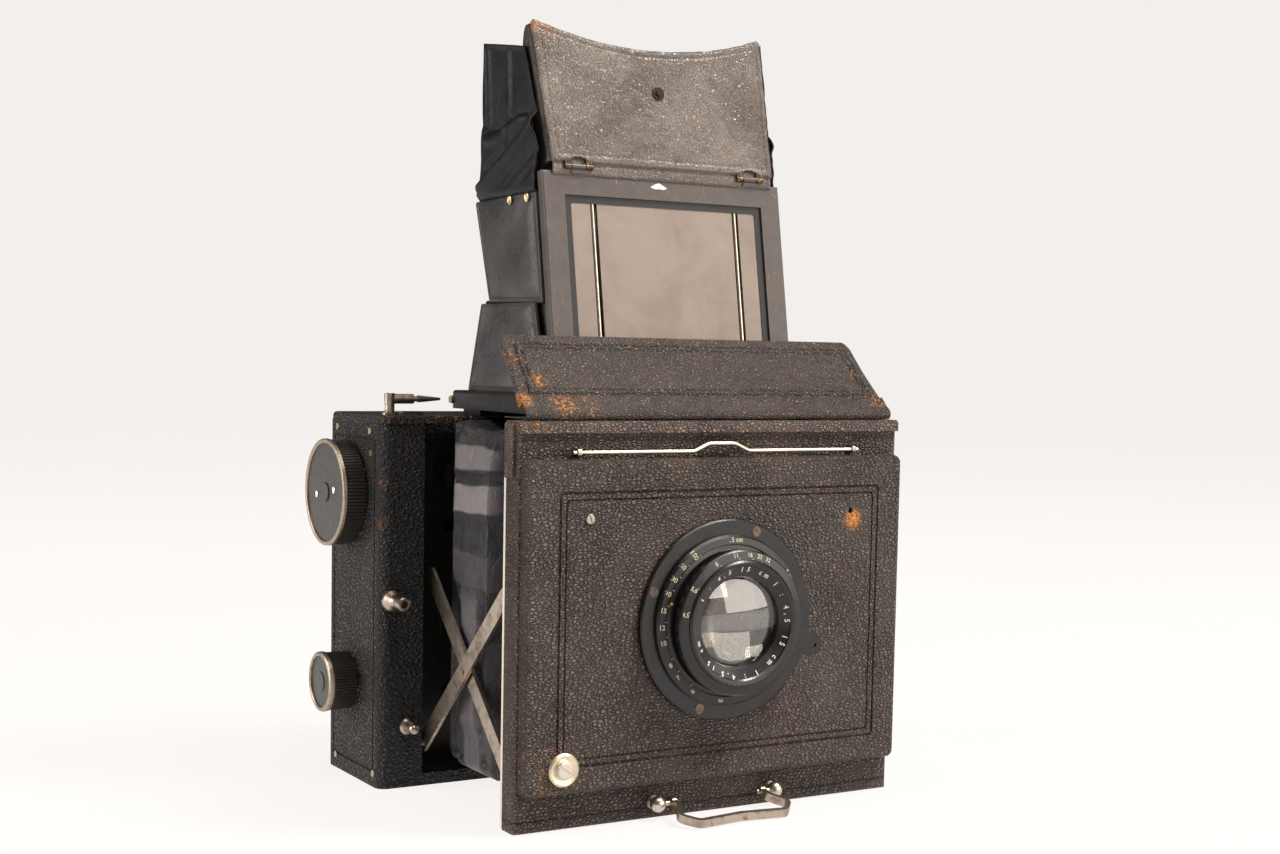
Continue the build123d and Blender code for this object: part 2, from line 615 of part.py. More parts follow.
def top_moulding():
    """The leather bead over the top of the standard, with the tabs that fold down its ends."""
    bead = block((-STAND_HALF, STAND_HALF), (STAND_FRONT - 1.4, PLATE_BACK), (STAND_H, 152.0))
    bead = fillet(edges_along(bead, Axis.X).sort_by(Axis.Z)[-2:], 1.9)
    y = (STAND_FRONT + 2.2, STAND_BACK - 0.2)
    tab = block((STAND_HALF + 0.2, STAND_HALF + 1.1), y, (131.0, 151.0))
    tab = fillet(edges_along(tab, Axis.X), 0.6)
    tab += block((STAND_HALF - 1, STAND_HALF + 0.3), (STAND_FRONT + 3, PLATE_BACK), (148, 150.5))
    for sided in both_sides(tab):
        bead += sided
    return bead


def latch_eyes():
    eye = block((61.8, 63.4), (STAND_FRONT - 3.6, STAND_FRONT), (138.9, 141.9))
    eye = fillet(edges_along(eye, Axis.X).sort_by(Axis.Y)[:2], 1.2)
    eye -= rod_x(LATCH_R + RUN, 55, 70, LATCH_Y, LATCH_Z)
    return group(both_sides(eye))


def wire_latch():
    """A wire across the top of the panel, bowed up at its middle for a fingertip."""
    y, z = LATCH_Y, LATCH_Z
    path = FilletPolyline(
        (-65.0, y, z),
        (-12.5, y, z),
        (-6.0, y, z + 2.9),
        (6.0, y, z + 2.9),
        (12.5, y, z),
        (65.0, y, z),
        radius=5.0,
    )
    return sweep(Plane(path @ 0, z_dir=path % 0) * Circle(LATCH_R), path)


def standard_screws():
    """Slotted screws: one in the panel, one in the washer and four in the lens flange."""
    screws = [slotted_screw_y(1.9, PANEL_FRONT, -60.0, 116.3, 75)]
    screws.append(slotted_screw_y(3.3, PANEL_FRONT - 1.3, -69.7, 24.2, 35, 1.1))
    for quarter in range(4):
        angle = radians(70 + 90 * quarter)
        x, z = 35.6 * cos(angle), LENS_Z + 35.6 * sin(angle)
        screws.append(slotted_screw_y(2.0, PANEL_FRONT - 2.2, x, z, 40 + 60 * quarter, 0.25, 4.5))
    return group(screws)


def panel_washer():
    y = PANEL_FRONT
    profile = [(1.9, y), (6.3, y), (6.3, y - 0.9), (5.6, y - 1.5)]
    profile += [(3.9, y - 1.0), (3.6, y - 1.3), (1.9, y - 1.3)]
    return turned_y(profile, -69.7, 24.2)


def strut_brackets():
    """Brackets behind the standard, with the pins of the front struts."""
    base = block((75.0, 78.4), (PLATE_BACK, PLATE_BACK + 7.5), (11.0, 23.0))
    pin_y = PLATE_BACK + 4.0
    base += rod_x(1.3, 78.0, 81.12, pin_y, STRUT_Z)
    return group(both_sides(base))


def ball_studs():
    stud = Pos(STUD_X, BAIL_Y, STUD_Z) * Sphere(3.1) + rod_y(1.7, BAIL_Y, STAND_FRONT, STUD_X, STUD_Z)
    stud += rod_y(2.6, STAND_FRONT - 0.8, STAND_FRONT, STUD_X, STUD_Z)
    stud += rod_x(1.0, 18.4, STUD_X, BAIL_Y, STUD_Z)
    return group(both_sides(stud))


def bail_foot():
    """A bent strap that swings on the studs, drawn flat and then let down to the table."""
    points = [(BAIL_X, 0), (BAIL_X, -5), (25.0, -13.0), (19.5, -19.0)]
    route = [(x, y, 0) for x, y in points] + [(0, -17.4, 0)]
    route += [(-x, y, 0) for x, y in reversed(points)]
    path = FilletPolyline(*route, radius=3.6)
    strap = sweep(Plane(path @ 0, z_dir=path % 0, x_dir=(1, 0, 0)) * Rectangle(1.9, 3.3), path)
    eye = rod_x(2.2, BAIL_X - 0.95, BAIL_X + 0.95, 0, 0)
    for sided in both_sides(eye):
        strap += sided
    strap -= rod_x(1.0 + RUN, -30, 30, 0, 0)
    return Pos(0, BAIL_Y, STUD_Z) * Rot(12.5, 0, 0) * strap


# ---------------------------------------------------------------- struts
def strut(length, hole_r):
    """A flat bar along +Z from its pivot at the origin, thick along X."""
    bar = block((-STRUT_T / 2, STRUT_T / 2), (-STRUT_HALF_W, STRUT_HALF_W), (0, length))
    bar += rod_x(STRUT_HALF_W, -STRUT_T / 2, STRUT_T / 2, 0, 0)
    bar += rod_x(STRUT_HALF_W, -STRUT_T / 2, STRUT_T / 2, 0, length)
    return bar - rod_x(hole_r, -2, 2, 0, 0)


def rear_struts():
    """Bars that turn on the body, with the rivet head at the middle of each."""
    bar = strut(STRUT_LEN, 1.3 + RUN)
    bar += Pos(0, 0, STRUT_LEN * 0.5) * rod_x(2.3, STRUT_T / 2, STRUT_T / 2 + 0.5, 0, 0)
    placed = Pos(STRUT_REAR_X, BODY_FRONT + 2, STRUT_Z) * Rot(90 - STRUT_PITCH, 0, 0) * bar
    return group(both_sides(placed))


def front_struts():
    bar = strut(STRUT_LEN, 1.3 + RUN)
    placed = Pos(STRUT_FRONT_X, PLATE_BACK + 4.0, STRUT_Z) * Rot(STRUT_PITCH - 90, 0, 0) * bar
    return group(both_sides(placed))


# ---------------------------------------------------------------- mirror
def mirror_place(shape):
    """Takes a shape drawn level, forward of its pivot along -Y, to the mirror's 45 degrees."""
    return Pos(0, MIRROR_Y, MIRROR_Z) * Rot(45, 0, 0) * shape


def mirror_carrier():
    """Two arms under the mirror, joined by a cross bar that the mirror rests on."""
    arm = block((60.2, 62.6), (-MIRROR_LEN + 8, 0), (-3.4, 2.2)) + rod_x(3.6, 60.2, 62.6, 0, 0)
    carrier = block((-61.5, 61.5), (-MIRROR_LEN + 8, -MIRROR_LEN + 12), (-6.2, -2.4))
    for sided in both_sides(arm):
        carrier += sided
    carrier -= rod_x(2.0 + RUN, -70, 70, 0, 0)
    return mirror_place(carrier)


def mirror_frame():
    half = MIRROR_W / 2
    tray = block((-half, half), (-MIRROR_LEN, -3.0), (-2.0, 2.0))
    tray -= block((-half + 1.6, half - 1.6), (-MIRROR_LEN + 1.6, -6.0), (0, 3))
    lug = block((half - 1.6, half + 2.6), (-6, 0), (-2, 2))
    lug += rod_x(3.0, half - 1.6, half + 2.6, 0, 0)
    for sided in both_sides(lug):
        tray += sided
    tray -= rod_x(2.0 + RUN, -70, 70, 0, 0)
    return mirror_place(tray)


def mirror_glass():
    half = MIRROR_W / 2 - 1.6
    return mirror_place(block((-half, half), (-MIRROR_LEN + 1.6, -6.0), (0, 1.8)))


# ---------------------------------------------------------------- lens
def lens_turned(profile):
    """Turns (radius, distance in front of the panel face) points about the lens axis."""
    return turned_y([(r, PANEL_FRONT - out) for r, out in profile], 0, LENS_Z)


def lens_flange():
    return lens_turned([(29.3, 0), (FLANGE_R, 0), (FLANGE_R, 1.6), (FLANGE_R - 0.6, 2.2), (29.3, 2.2)])


def focus_scale():
    """The fixed ring that carries the distance numbers."""
    profile = [(29.3, 2.2), (SCALE_R, 2.2), (SCALE_R, 3.6), (SCALE_R - 0.9, 4.6)]
    return lens_turned(profile + [(29.6, 4.9), (29.3, 4.9)])


def focus_barrel():
    profile = [(26.0, -6), (29.2, -6), (29.2, 4.4), (27.6, 4.9), (27.4, 5.6), (26.0, 5.6)]
    return lens_turned(profile)


TAB_ANGLE = -17.0
TUBE_R, REAR_R = 19.0, 17.0


def aperture_ring():
    """The outer ring of the lens front, with the numbers and the setting tab."""
    profile = [(25.3, 9.3), (RING_R, 9.3), (RING_R, 11.4), (27.3, 12.0)]
    profile += [(RIM_R + 1.0, 12.6), (RIM_R + 1.0, 12.2), (25.3, 12.0)]
    ring = lens_turned(profile)
    tab = block((RING_R - 2.0, 36.0), (PANEL_FRONT - 11.0, PANEL_FRONT - 9.6), (-4.6, 4.6))
    tab += rod_y(4.2, PANEL_FRONT - 11.0, PANEL_FRONT - 9.6, 35.5, 0)
    tab -= rod_y(0.8, PANEL_FRONT - 20, PANEL_FRONT, 36.5, 0)
    return ring + Pos(0, 0, LENS_Z) * Rot(0, -TAB_ANGLE, 0) * tab


def lens_tube():
    """The inner tube that carries the elements and slides out as the lens is focused."""
    profile = [(REAR_R, -20), (25.9, -20), (25.9, 9.0), (25.2, 9.0), (25.2, 11.0)]
    profile += [(TUBE_R, 11.0), (TUBE_R, -8.0), (REAR_R, -8.0)]
    return lens_turned(profile)


def name_ring():
    """The dished ring that holds the front element."""
    profile = [(TUBE_R, 11.0), (RIM_R + 0.8, 11.0), (RIM_R + 0.8, 12.8), (RIM_R, 13.4)]
    profile += [(22.0, 13.2), (21.4, 12.6), (GLASS_R, 10.7), (GLASS_R, 8.6), (TUBE_R, 8.6)]
    return lens_turned(profile)


def element(radius, front, back, bulge_front, bulge_back):
    """A lens element from its rim radius, the places of its rim and how far its faces bulge."""
    y_front, y_back = PANEL_FRONT - front - bulge_front, PANEL_FRONT - back + bulge_back
    glass = rod_y(radius, y_front, y_back, 0, LENS_Z)
    for y, bulge, inward in ((y_front, bulge_front, 1), (y_back, bulge_back, -1)):
        ball_r = (radius**2 + bulge**2) / (2 * bulge)
        glass &= Pos(0, y + inward * ball_r, LENS_Z) * Sphere(ball_r)
    return glass


def front_element():
    """The front glass, with the collar that sits between the tube and the name ring."""
    collar = rod_y(TUBE_R, PANEL_FRONT - 8.6, PANEL_FRONT - 4.4, 0, LENS_Z)
    return collar + element(GLASS_R - 0.05, 8.4, 3.6, 3.4, 0.8)


def rear_element():
    return element(REAR_R, -10.0, -15.0, 0.6, 2.6)


def iris_blades():
    """Twelve thin blades, drawn back to full aperture between the elements."""
    blade = Circle(TUBE_R) - Circle(15.2)
    wedge = Polyline([(0, 0), (30, 0), (30 * cos(radians(29)), 30 * sin(radians(29)))], close=True)
    face = blade & make_face(wedge)
    blades = []
    for step in range(12):
        placed = Pos(0, PANEL_FRONT + 3.0 + 0.3 * (step % 2), LENS_Z) * Rot(90, 0, 0)
        blades.append(placed * Rot(0, 0, 30 * step) * extrude(face, 0.2))
    return group(blades)


# ---------------------------------------------------------------- bellows
def bellows():
    """A plain closed shell of the folded cloth: two sides and a floor, open above to the screen."""
    y = (PLATE_BACK + 0.3, BODY_FRONT - 0.5)
    outer = block((-73.4, 73.4), y, (9.0, 152.4))
    return outer - block((-71.6, 71.6), (y[0] - 1, y[1] + 1), (10.8, 160))


BUILDERS = [
    body_shell, top_cover, rear_cover, body_screws, tripod_bush, shutter_frame, pivot_pins,
    curtain, winding_gear, upper_roller, lower_roller, winding_knob, knob_rim, knob_dial,
    tension_knob, release_post, release_lever, cable_release_socket, button_sleeve,
    mirror_button, plate_holder, dark_slide, hood_base, ground_glass, flap_hinge, top_flap,
    hood_front_frame, finder_plates, finder_rods, visor_fittings, visor, hood_lower_walls,
    hood_middle_walls, hood_upper_walls, front_frame, back_plate, lens_panel, top_moulding,
    latch_eyes, wire_latch, standard_screws, panel_washer, strut_brackets, ball_studs,
    bail_foot, rear_struts, front_struts, mirror_carrier, mirror_frame, mirror_glass,
    lens_flange, focus_scale, focus_barrel, aperture_ring, lens_tube, name_ring,
    front_element, rear_element, iris_blades, bellows,
]

os.makedirs("parts", exist_ok=True)
for build in BUILDERS:
    nodes[build.__name__] = build()
for name, shape in nodes.items():
    export_step(shape, f"parts/{name}.step")
print(len(nodes), "nodes")
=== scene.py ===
"""The looks of the folding reflex plate camera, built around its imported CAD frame."""

from math import cos, exp, hypot, pi, radians, sin, sqrt, tan

import bpy
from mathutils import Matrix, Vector, noise


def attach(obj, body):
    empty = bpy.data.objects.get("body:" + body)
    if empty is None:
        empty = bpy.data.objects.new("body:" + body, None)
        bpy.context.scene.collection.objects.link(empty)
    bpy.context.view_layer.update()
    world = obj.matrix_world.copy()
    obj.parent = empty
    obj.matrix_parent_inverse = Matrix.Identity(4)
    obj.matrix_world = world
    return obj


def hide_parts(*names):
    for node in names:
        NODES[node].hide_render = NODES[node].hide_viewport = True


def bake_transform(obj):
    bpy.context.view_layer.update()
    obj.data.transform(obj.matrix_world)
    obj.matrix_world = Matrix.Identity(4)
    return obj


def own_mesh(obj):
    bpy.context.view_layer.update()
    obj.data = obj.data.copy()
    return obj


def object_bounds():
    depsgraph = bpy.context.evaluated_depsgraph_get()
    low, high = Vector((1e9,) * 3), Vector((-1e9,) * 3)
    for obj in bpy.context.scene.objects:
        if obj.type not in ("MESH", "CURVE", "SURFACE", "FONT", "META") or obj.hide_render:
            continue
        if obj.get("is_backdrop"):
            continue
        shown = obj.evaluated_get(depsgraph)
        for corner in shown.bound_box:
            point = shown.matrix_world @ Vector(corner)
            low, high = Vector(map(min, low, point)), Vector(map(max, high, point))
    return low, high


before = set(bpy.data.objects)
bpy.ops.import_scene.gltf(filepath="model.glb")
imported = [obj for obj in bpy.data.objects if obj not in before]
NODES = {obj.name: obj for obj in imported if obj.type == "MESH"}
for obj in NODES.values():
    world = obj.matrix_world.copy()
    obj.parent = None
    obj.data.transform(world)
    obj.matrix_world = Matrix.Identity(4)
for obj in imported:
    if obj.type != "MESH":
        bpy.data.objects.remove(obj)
cad_low, cad_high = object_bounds()
MM = 0.001

# Places that several pieces share, in millimetres.
STAND_FRONT, PLATE_BACK, BODY_FRONT, BODY_BACK = -114.4, -103.9, -27.8, 27.8
PANEL_FRONT, LENS_Z = -121.4, 76.0
HOOD_PIVOT, HOOD_LEAN = (-82.3, 164.0), 9.5
VISOR_LINE, VISOR_LEAN = (-71.525, 248.987), 15.0
FLAP_LINE, FLAP_LEAN = (-111.9, 154.5), 43.5
STUD = (0, -72, 276)
SIDES = ((-1, "left"), (1, "right"))


# ---- materials
class Surface:
    """A node material, put together one step at a time in the frame's own coordinates."""

    def __init__(self, name):
        self.material = bpy.data.materials.new(name)
        self.material.use_nodes = True
        self.tree = self.material.node_tree
        self.bsdf = self.tree.nodes["Principled BSDF"]
        self.place = self.node("TexCoord").outputs["Object"]

    def node(self, kind, inputs=None, **settings):
        """A new node with its settings, and with a value or a link in each named input."""
        made = self.tree.nodes.new("ShaderNode" + kind)
        for key, value in settings.items():
            setattr(made, key, value)
        self.put(made, inputs or {})
        return made

    def put(self, node, values):
        for key, value in values.items():
            socket = node.inputs[key]
            if isinstance(value, bpy.types.NodeSocket):
                self.tree.links.new(value, socket)
            else:
                socket.default_value = (*value, 1.0) if socket.type == "RGBA" else value

    def math(self, operation, *values):
        return self.node("Math", dict(enumerate(values)), operation=operation).outputs[0]

    def times(self, a, b):
        return self.math("MULTIPLY", a, b)

    def minus(self, a, b):
        return self.math("SUBTRACT", a, b)

    def axis(self, letter):
        return self.node("SeparateXYZ", {0: self.place}).outputs[letter]

    def stretched(self, *scale):
        return self.node("Mapping", {"Vector": self.place, "Scale": scale}).outputs[0]

    def noise(self, size, detail=3.0, rough=0.55, where=None, warp=0.0):
        """Noise whose features are about size millimetres across."""
        return self.node("TexNoise", {
            "Vector": where or self.place, "Scale": 1.0 / (size * MM), "Detail": detail,
            "Roughness": rough, "Distortion": warp}).outputs["Fac"]

    def cracks(self, size, where=None):
        """Distance to the border between cells of about size millimetres."""
        return self.node("TexVoronoi", {
            "Vector": where or self.place, "Scale": 1.0 / (size * MM)},
            feature="DISTANCE_TO_EDGE").outputs["Distance"]

    def ramp(self, value, low, high):
        """0 at low, 1 at high, smooth in between."""
        return self.node("MapRange", {"Value": value, "From Min": low, "From Max": high},
                         interpolation_type="SMOOTHSTEP").outputs["Result"]

    def between(self, share, a, b):
        """A number that goes from a to b."""
        return self.node("MapRange", {"Value": share, "To Min": a, "To Max": b}).outputs["Result"]

    def mix(self, share, a, b):
        return self.node("Mix", {"Factor": share, 6: a, 7: b}, data_type="RGBA").outputs[2]

    def over(self, color, other, share, amount):
        """The other colour laid over the first, by share times amount."""
        return self.mix(self.times(share, amount), color, other)

    def bump(self, height, distance, below=None):
        made = self.node("Bump", {"Distance": distance * MM, "Strength": 1.0, "Height": height})
        if below is not None:
            self.put(made, {"Normal": below})
        return made.outputs["Normal"]

    def finish(self, color, rough, metal=0.0, normal=None, specular=0.5):
        self.put(self.bsdf, {"Base Color": color, "Roughness": rough, "Metallic": metal,
                             "Specular IOR Level": specular})
        if normal is not None:
            self.put(self.bsdf, {"Normal": normal})
        return self.material

    def near_point(self, point, radius, soft):
        """1 within radius of a point, in millimetres, fading to 0 over soft."""
        gap = self.node("VectorMath", {0: self.place, 1: [v * MM for v in point]},
                        operation="DISTANCE").outputs["Value"]
        return self.ramp(gap, (radius + soft) * MM, radius * MM)

    def spots(self, color, patches, orange, rust=1.0):
        """Rust-coloured specks, gathered in patches of (point, radius, share)."""
        for point, radius, share in patches:
            spot = self.near_point(point, radius * 0.4, radius)
            specks = self.ramp(self.noise(1.5, 4.0, 0.75), 0.66 - 0.16 * share, 0.73 - 0.12 * share)
            orange = self.math("MAXIMUM", orange, self.times(spot, specks))
        rusty = self.mix(self.noise(2.0), (0.36, 0.115, 0.022), (0.95, 0.37, 0.065))
        return self.over(color, rusty, orange, rust)

    def edge_distance(self, low, high):
        """Distance to the nearest edge of a box, for a point on its faces."""
        a, b, c = (self.math("MINIMUM", self.minus(self.axis(k), low[k] * MM),
                             self.minus(high[k] * MM, self.axis(k))) for k in range(3))
        least, most = self.math("MINIMUM", a, b), self.math("MAXIMUM", a, b)
        return self.math("MAXIMUM", least, self.math("MINIMUM", most, c))


def scaled(color, share):
    return [v * share for v in color]


def leather(name, valley, top, grain=1.35, depth=1.3, rough=(0.24, 0.55), box=None, wear=1.0, rust=1.0,
            patches=(), rubbed=(0.17, 0.125, 0.095), sheen=0.5, lines=(), dim=None):
    """Pebbled leather: domed grain between fine creases, rubbed edges and rust-coloured specks.
    Each of lines is pressed in, as (axis, place, width). dim darkens the colour as painted shade, as (axis,
    from, to, share)."""
    s = Surface(name)
    wobble = s.node("TexNoise", {"Vector": s.place, "Scale": 700.0})
    moved = s.node("VectorMath", {
        0: wobble.outputs["Color"], 1: (0.0007, 0.0007, 0.0007), 2: s.stretched(0.74, 1.0, 1.1)},
        operation="MULTIPLY_ADD")
    border = s.cracks(grain, moved.outputs[0])
    dome = s.ramp(border, 0.0, 0.36)
    lit = s.ramp(s.noise(1.9, 2.0, 0.5, warp=0.4), 0.4, 0.66)
    fine = s.noise(0.3, 2.0)
    tone = s.noise(30.0, 4.0, 0.6)
    smears = s.noise(9.0, 5.0, 0.7, warp=1.2)
    color = s.mix(s.ramp(border, 0.03, 0.24), valley, s.mix(lit, scaled(top, 0.75), scaled(top, 1.5)))
    color = s.over(color, scaled(top, 1.4), s.ramp(tone, 0.35, 0.75), 0.3)
    color = s.over(color, rubbed, s.ramp(smears, 0.6, 0.82), 0.3)
    specks = s.ramp(s.noise(1.0, 3.0, 0.7), 0.68, 0.74)
    clusters = s.ramp(s.noise(24.0, 4.0, 0.65, warp=0.6), 0.6, 0.74)
    orange = s.times(specks, clusters)
    if box is not None:
        gap = s.edge_distance(*box)
        ragged = s.minus(gap, s.times(s.noise(2.6, 4.0, 0.7), 0.003))
        rub = s.times(s.ramp(ragged, 0.0, -0.0013), wear)
        color = s.over(color, rubbed, rub, 0.55)
        close = s.ramp(gap, 0.007, 0.0)
        edge_specks = s.ramp(s.noise(1.3, 4.0, 0.7), 0.66, 0.72)
        orange = s.math("MAXIMUM", orange, s.times(close, edge_specks))
    color = s.spots(color, patches, orange, rust)
    # Painted shade: dim darkens the colour towards one end of an axis.
    if dim is not None:
        axis, start, end, share = dim
        color = s.over(color, (0.001, 0.001, 0.001), s.ramp(s.axis(axis), start * MM, end * MM), share)
    below = s.bump(tone, 0.6)
    for axis, place, width in lines:
        gap = s.math("ABSOLUTE", s.minus(s.axis(axis), place * MM))
        pressed = s.ramp(gap, width * MM, width * 0.3 * MM)
        color = s.over(color, scaled(valley, 0.4), pressed, 0.75)
        below = s.bump(s.times(pressed, -1.0), 0.5, below)
    normal = s.bump(s.math("ADD", dome, s.times(fine, 0.3)), depth, below)
    return s.finish(color, s.between(dome, rough[1], rough[0]), normal=normal, specular=sheen)


def smooth_leather(name, dark, light, creases=0.6, scuff=(0.2, 0.16, 0.13), rough=(0.34, 0.52),
                   grain=0.55, depth=0.07, streaks=0.45, patches=(), sheen=0.5):
    """Thin leather with fine crackle, long soft creases and rubbed streaks."""
    s = Surface(name)
    crackle = s.ramp(s.cracks(grain), 0.0, 0.16)
    cloud = s.noise(28.0, 4.0, 0.55, warp=0.4)
    streak = s.noise(5.0, 5.0, 0.65, s.stretched(1.0, 1.0, 0.16), 0.8)
    wrinkle = s.noise(11.0, 5.0, 0.6, warp=1.2)
    ridge = s.ramp(s.math("ABSOLUTE", s.minus(wrinkle, 0.5)), 0.0, 0.012)
    pebble = s.noise(grain * 2.0, 3.0, 0.6)
    color = s.mix(s.ramp(cloud, 0.3, 0.72), dark, light)
    color = s.over(color, scuff, s.ramp(streak, 0.6, 0.78), streaks)
    color = s.over(color, scaled(dark, 0.35), s.minus(1.0, ridge), 0.35 * creases)
    color = s.over(color, scaled(dark, 0.4), s.minus(1.0, crackle), 0.3)
    if patches:
        color = s.spots(color, patches, 0.0)
    height = s.math("ADD", s.times(crackle, 0.5), s.times(pebble, 1.6))
    normal = s.bump(height, depth, s.bump(ridge, 0.1 * creases, s.bump(cloud, 0.5)))
    return s.finish(color, s.between(s.ramp(cloud, 0.3, 0.7), *rough), normal=normal, specular=sheen)


def metal(name, color, rough=0.25, tarnish=(0.2, 0.15, 0.1), amount=0.5, brushed=None, scale=5.0,
          pits=0.3, bright=()):
    """Plated metal with clouded tarnish, fine scratches and a few dark pits.
    Each of bright is a place of another colour, as (point, radius, colour)."""
    s = Surface(name)
    cloud = s.noise(scale, 5.0, 0.65, warp=0.7)
    spots = s.ramp(s.noise(0.8, 3.0, 0.6), 0.66, 0.76)
    base = s.over(color, tarnish, s.ramp(cloud, 0.42, 0.72), amount)
    base = s.over(base, scaled(tarnish, 0.35), spots, pits)
    for point, radius, tint in bright:
        base = s.mix(s.near_point(point, radius, radius - 0.5), base, tint)
    lines = s.noise(0.5, 3.0, 0.6, s.stretched(*brushed) if brushed else None)
    gloss = s.math("ADD", s.between(cloud, rough * 0.8, rough * 1.5), s.times(lines, 0.1))
    return s.finish(base, gloss, metal=1.0, normal=s.bump(lines, 0.01 if brushed else 0.006))


def lacquer(name, dark, light, rough=0.38, scuff=(0.3, 0.27, 0.23), scuffs=0.35, size=3.0):
    """Black lacquer on metal, with cloudy wear and hairline scratches."""
    s = Surface(name)
    cloud = s.noise(size * 3, 5.0, 0.6, warp=0.4)
    rubs = s.ramp(s.noise(size, 6.0, 0.72, warp=1.0), 0.6, 0.74)
    hair = s.ramp(s.noise(0.9, 2.0, 0.5, s.stretched(1.0, 1.0, 0.05), 1.5), 0.7, 0.73)
    color = s.over(s.mix(cloud, dark, light), scuff, rubs, scuffs)
    color = s.over(color, scuff, hair, scuffs)
    normal = s.bump(s.noise(0.6, 3.0), 0.015, s.bump(cloud, 0.2))
    return s.finish(color, s.between(cloud, rough * 0.85, rough * 1.25), normal=normal)


def on_plane(y, *rows):
    """Patches of rust that share a Y, from (x, z, radius, share)."""
    return [((x, y, z), radius, share) for x, z, radius, share in rows]


# The boxes whose edges are rubbed, and the leather. Patches of rust are (point, radius, share).
FRONT_BLACK, BODY_BLACK = (0.0035, 0.0027, 0.0022), (0.0025, 0.0018, 0.0015)
PANEL_BOX = (-85, PANEL_FRONT, 14), (85, STAND_FRONT + 30, 138)
FRAME_BOX = (-86.3, STAND_FRONT, 0), (86.3, PLATE_BACK, 147.5)
BODY_BOX = (-103, BODY_FRONT, 0), (103, BODY_BACK, 150.5)

PANEL = leather(
    "front_leather_panel", FRONT_BLACK, (0.132, 0.094, 0.075), box=PANEL_BOX,
    patches=on_plane(PANEL_FRONT, (60, 113, 4.0, 2.1), (-74, 24, 10.0, 0.75), (30, 34, 12.0, 0.5),
                     (-38, 26, 7.0, 0.2), (-20, 136, 4.0, 0.7), (56, 92, 6.0, 0.45), (45, 126, 4.0, 0.5))
    + on_plane(PANEL_FRONT + 3, (-84, 24, 8.0, 0.6)))
FRAME_LEATHER = leather(
    "front_leather_frame", FRONT_BLACK, (0.142, 0.099, 0.078), box=FRAME_BOX, lines=[(2, 4.2, 0.8)],
    rust=0.8, wear=0.7, patches=[((-86, -109, 30), 8.0, 0.5), ((-86, -109, 8), 6.0, 0.6)])
# The top strip is a lighter copy of the front leather, its brightness a painted highlight from the light above.
MOULDING = leather(
    "front_leather_moulding", (0.008, 0.006, 0.0052), (0.235, 0.17, 0.136), grain=1.25, depth=1.1,
    rust=0.9, patches=on_plane(STAND_FRONT, (-80, 150, 6.0, 0.8), (-20, 150, 4.0, 0.5)))
# The body's front face is darkened along Y by dim, as painted shade from the front standard.
BODY = leather(
    "body_leather_shell", BODY_BLACK, (0.052, 0.035, 0.028), grain=1.8, depth=2.0, box=BODY_BOX,
    wear=0.35, rust=0.8, rubbed=(0.1, 0.07, 0.055), rough=(0.22, 0.8), sheen=0.62,
    dim=(1, BODY_FRONT + 4, BODY_FRONT + 0.6, 0.88),
    patches=[((-103, -16, 57), 9.0, 0.55), ((-103, -18, 46), 6.0, 0.5)] + on_plane(
        BODY_FRONT, (-102, 124, 3.0, 1.5), (-102, 107.5, 3.0, 1.8), (-90, 138, 5.0, 0.6), (-101, 66, 5.0, 0.5)))
COVER = leather(
    "body_leather_cover", BODY_BLACK, (0.036, 0.024, 0.019), grain=1.6, depth=1.3, box=BODY_BOX,
    wear=0.6, rust=0.9, rubbed=(0.16, 0.09, 0.06),
    patches=on_plane(BODY_FRONT, (-72, 150, 12.0, 0.8), (-99, 150, 5.0, 0.5)))
FLAP = leather(
    "front_leather_flap", (0.01, 0.0078, 0.0062), (0.094, 0.07, 0.057), grain=1.15, depth=0.55,
    rubbed=(0.13, 0.1, 0.082), patches=[
        ((-82, -108, 158), 4.0, 1.7), ((-72, -101, 165), 4.0, 1.2), ((-66, -110, 156), 6.0, 1.1),
        ((-56, -110, 156), 5.0, 0.8), ((-79, -92, 173), 5.0, 0.9), ((-50, -84, 181), 8.0, 0.5),
        ((62, -84, 181), 8.0, 0.5), ((5, -84, 181), 14.0, 0.3), ((79, -108, 158), 5.0, 0.9),
        ((74, -98, 168), 4.0, 0.7), ((30, -110, 156), 10.0, 0.3)])
HOOD = smooth_leather("hood_leather_walls", (0.006, 0.0055, 0.006), (0.075, 0.066, 0.064), depth=0.06,
                      rough=(0.24, 0.44), streaks=0.6, creases=0.5, scuff=(0.11, 0.09, 0.075))
SOFT = smooth_leather("hood_leather_soft", (0.0022, 0.0023, 0.0035), (0.0075, 0.007, 0.0085), creases=0.8,
                      rough=(0.36, 0.52), scuff=(0.06, 0.044, 0.034), streaks=0.4, depth=0.05, sheen=0.22)
SOFT_EDGE = smooth_leather("visor_edge_leather", (0.012, 0.009, 0.008), (0.05, 0.037, 0.03), creases=0.6,
                           rough=(0.34, 0.5), grain=0.9, depth=0.22, scuff=(0.13, 0.09, 0.07), streaks=0.5)
VISOR = smooth_leather(
    "visor_leather", (0.122, 0.098, 0.083), (0.222, 0.184, 0.157), creases=1.0, scuff=(0.16, 0.13, 0.11),
    rough=(0.26, 0.4), grain=1.3, depth=0.34, streaks=0.12,
    patches=[((-53, -55, 307), 6.0, 1.3), ((-46, -56, 303), 6.0, 0.8), ((20, -66, 272), 5.0, 0.3)])

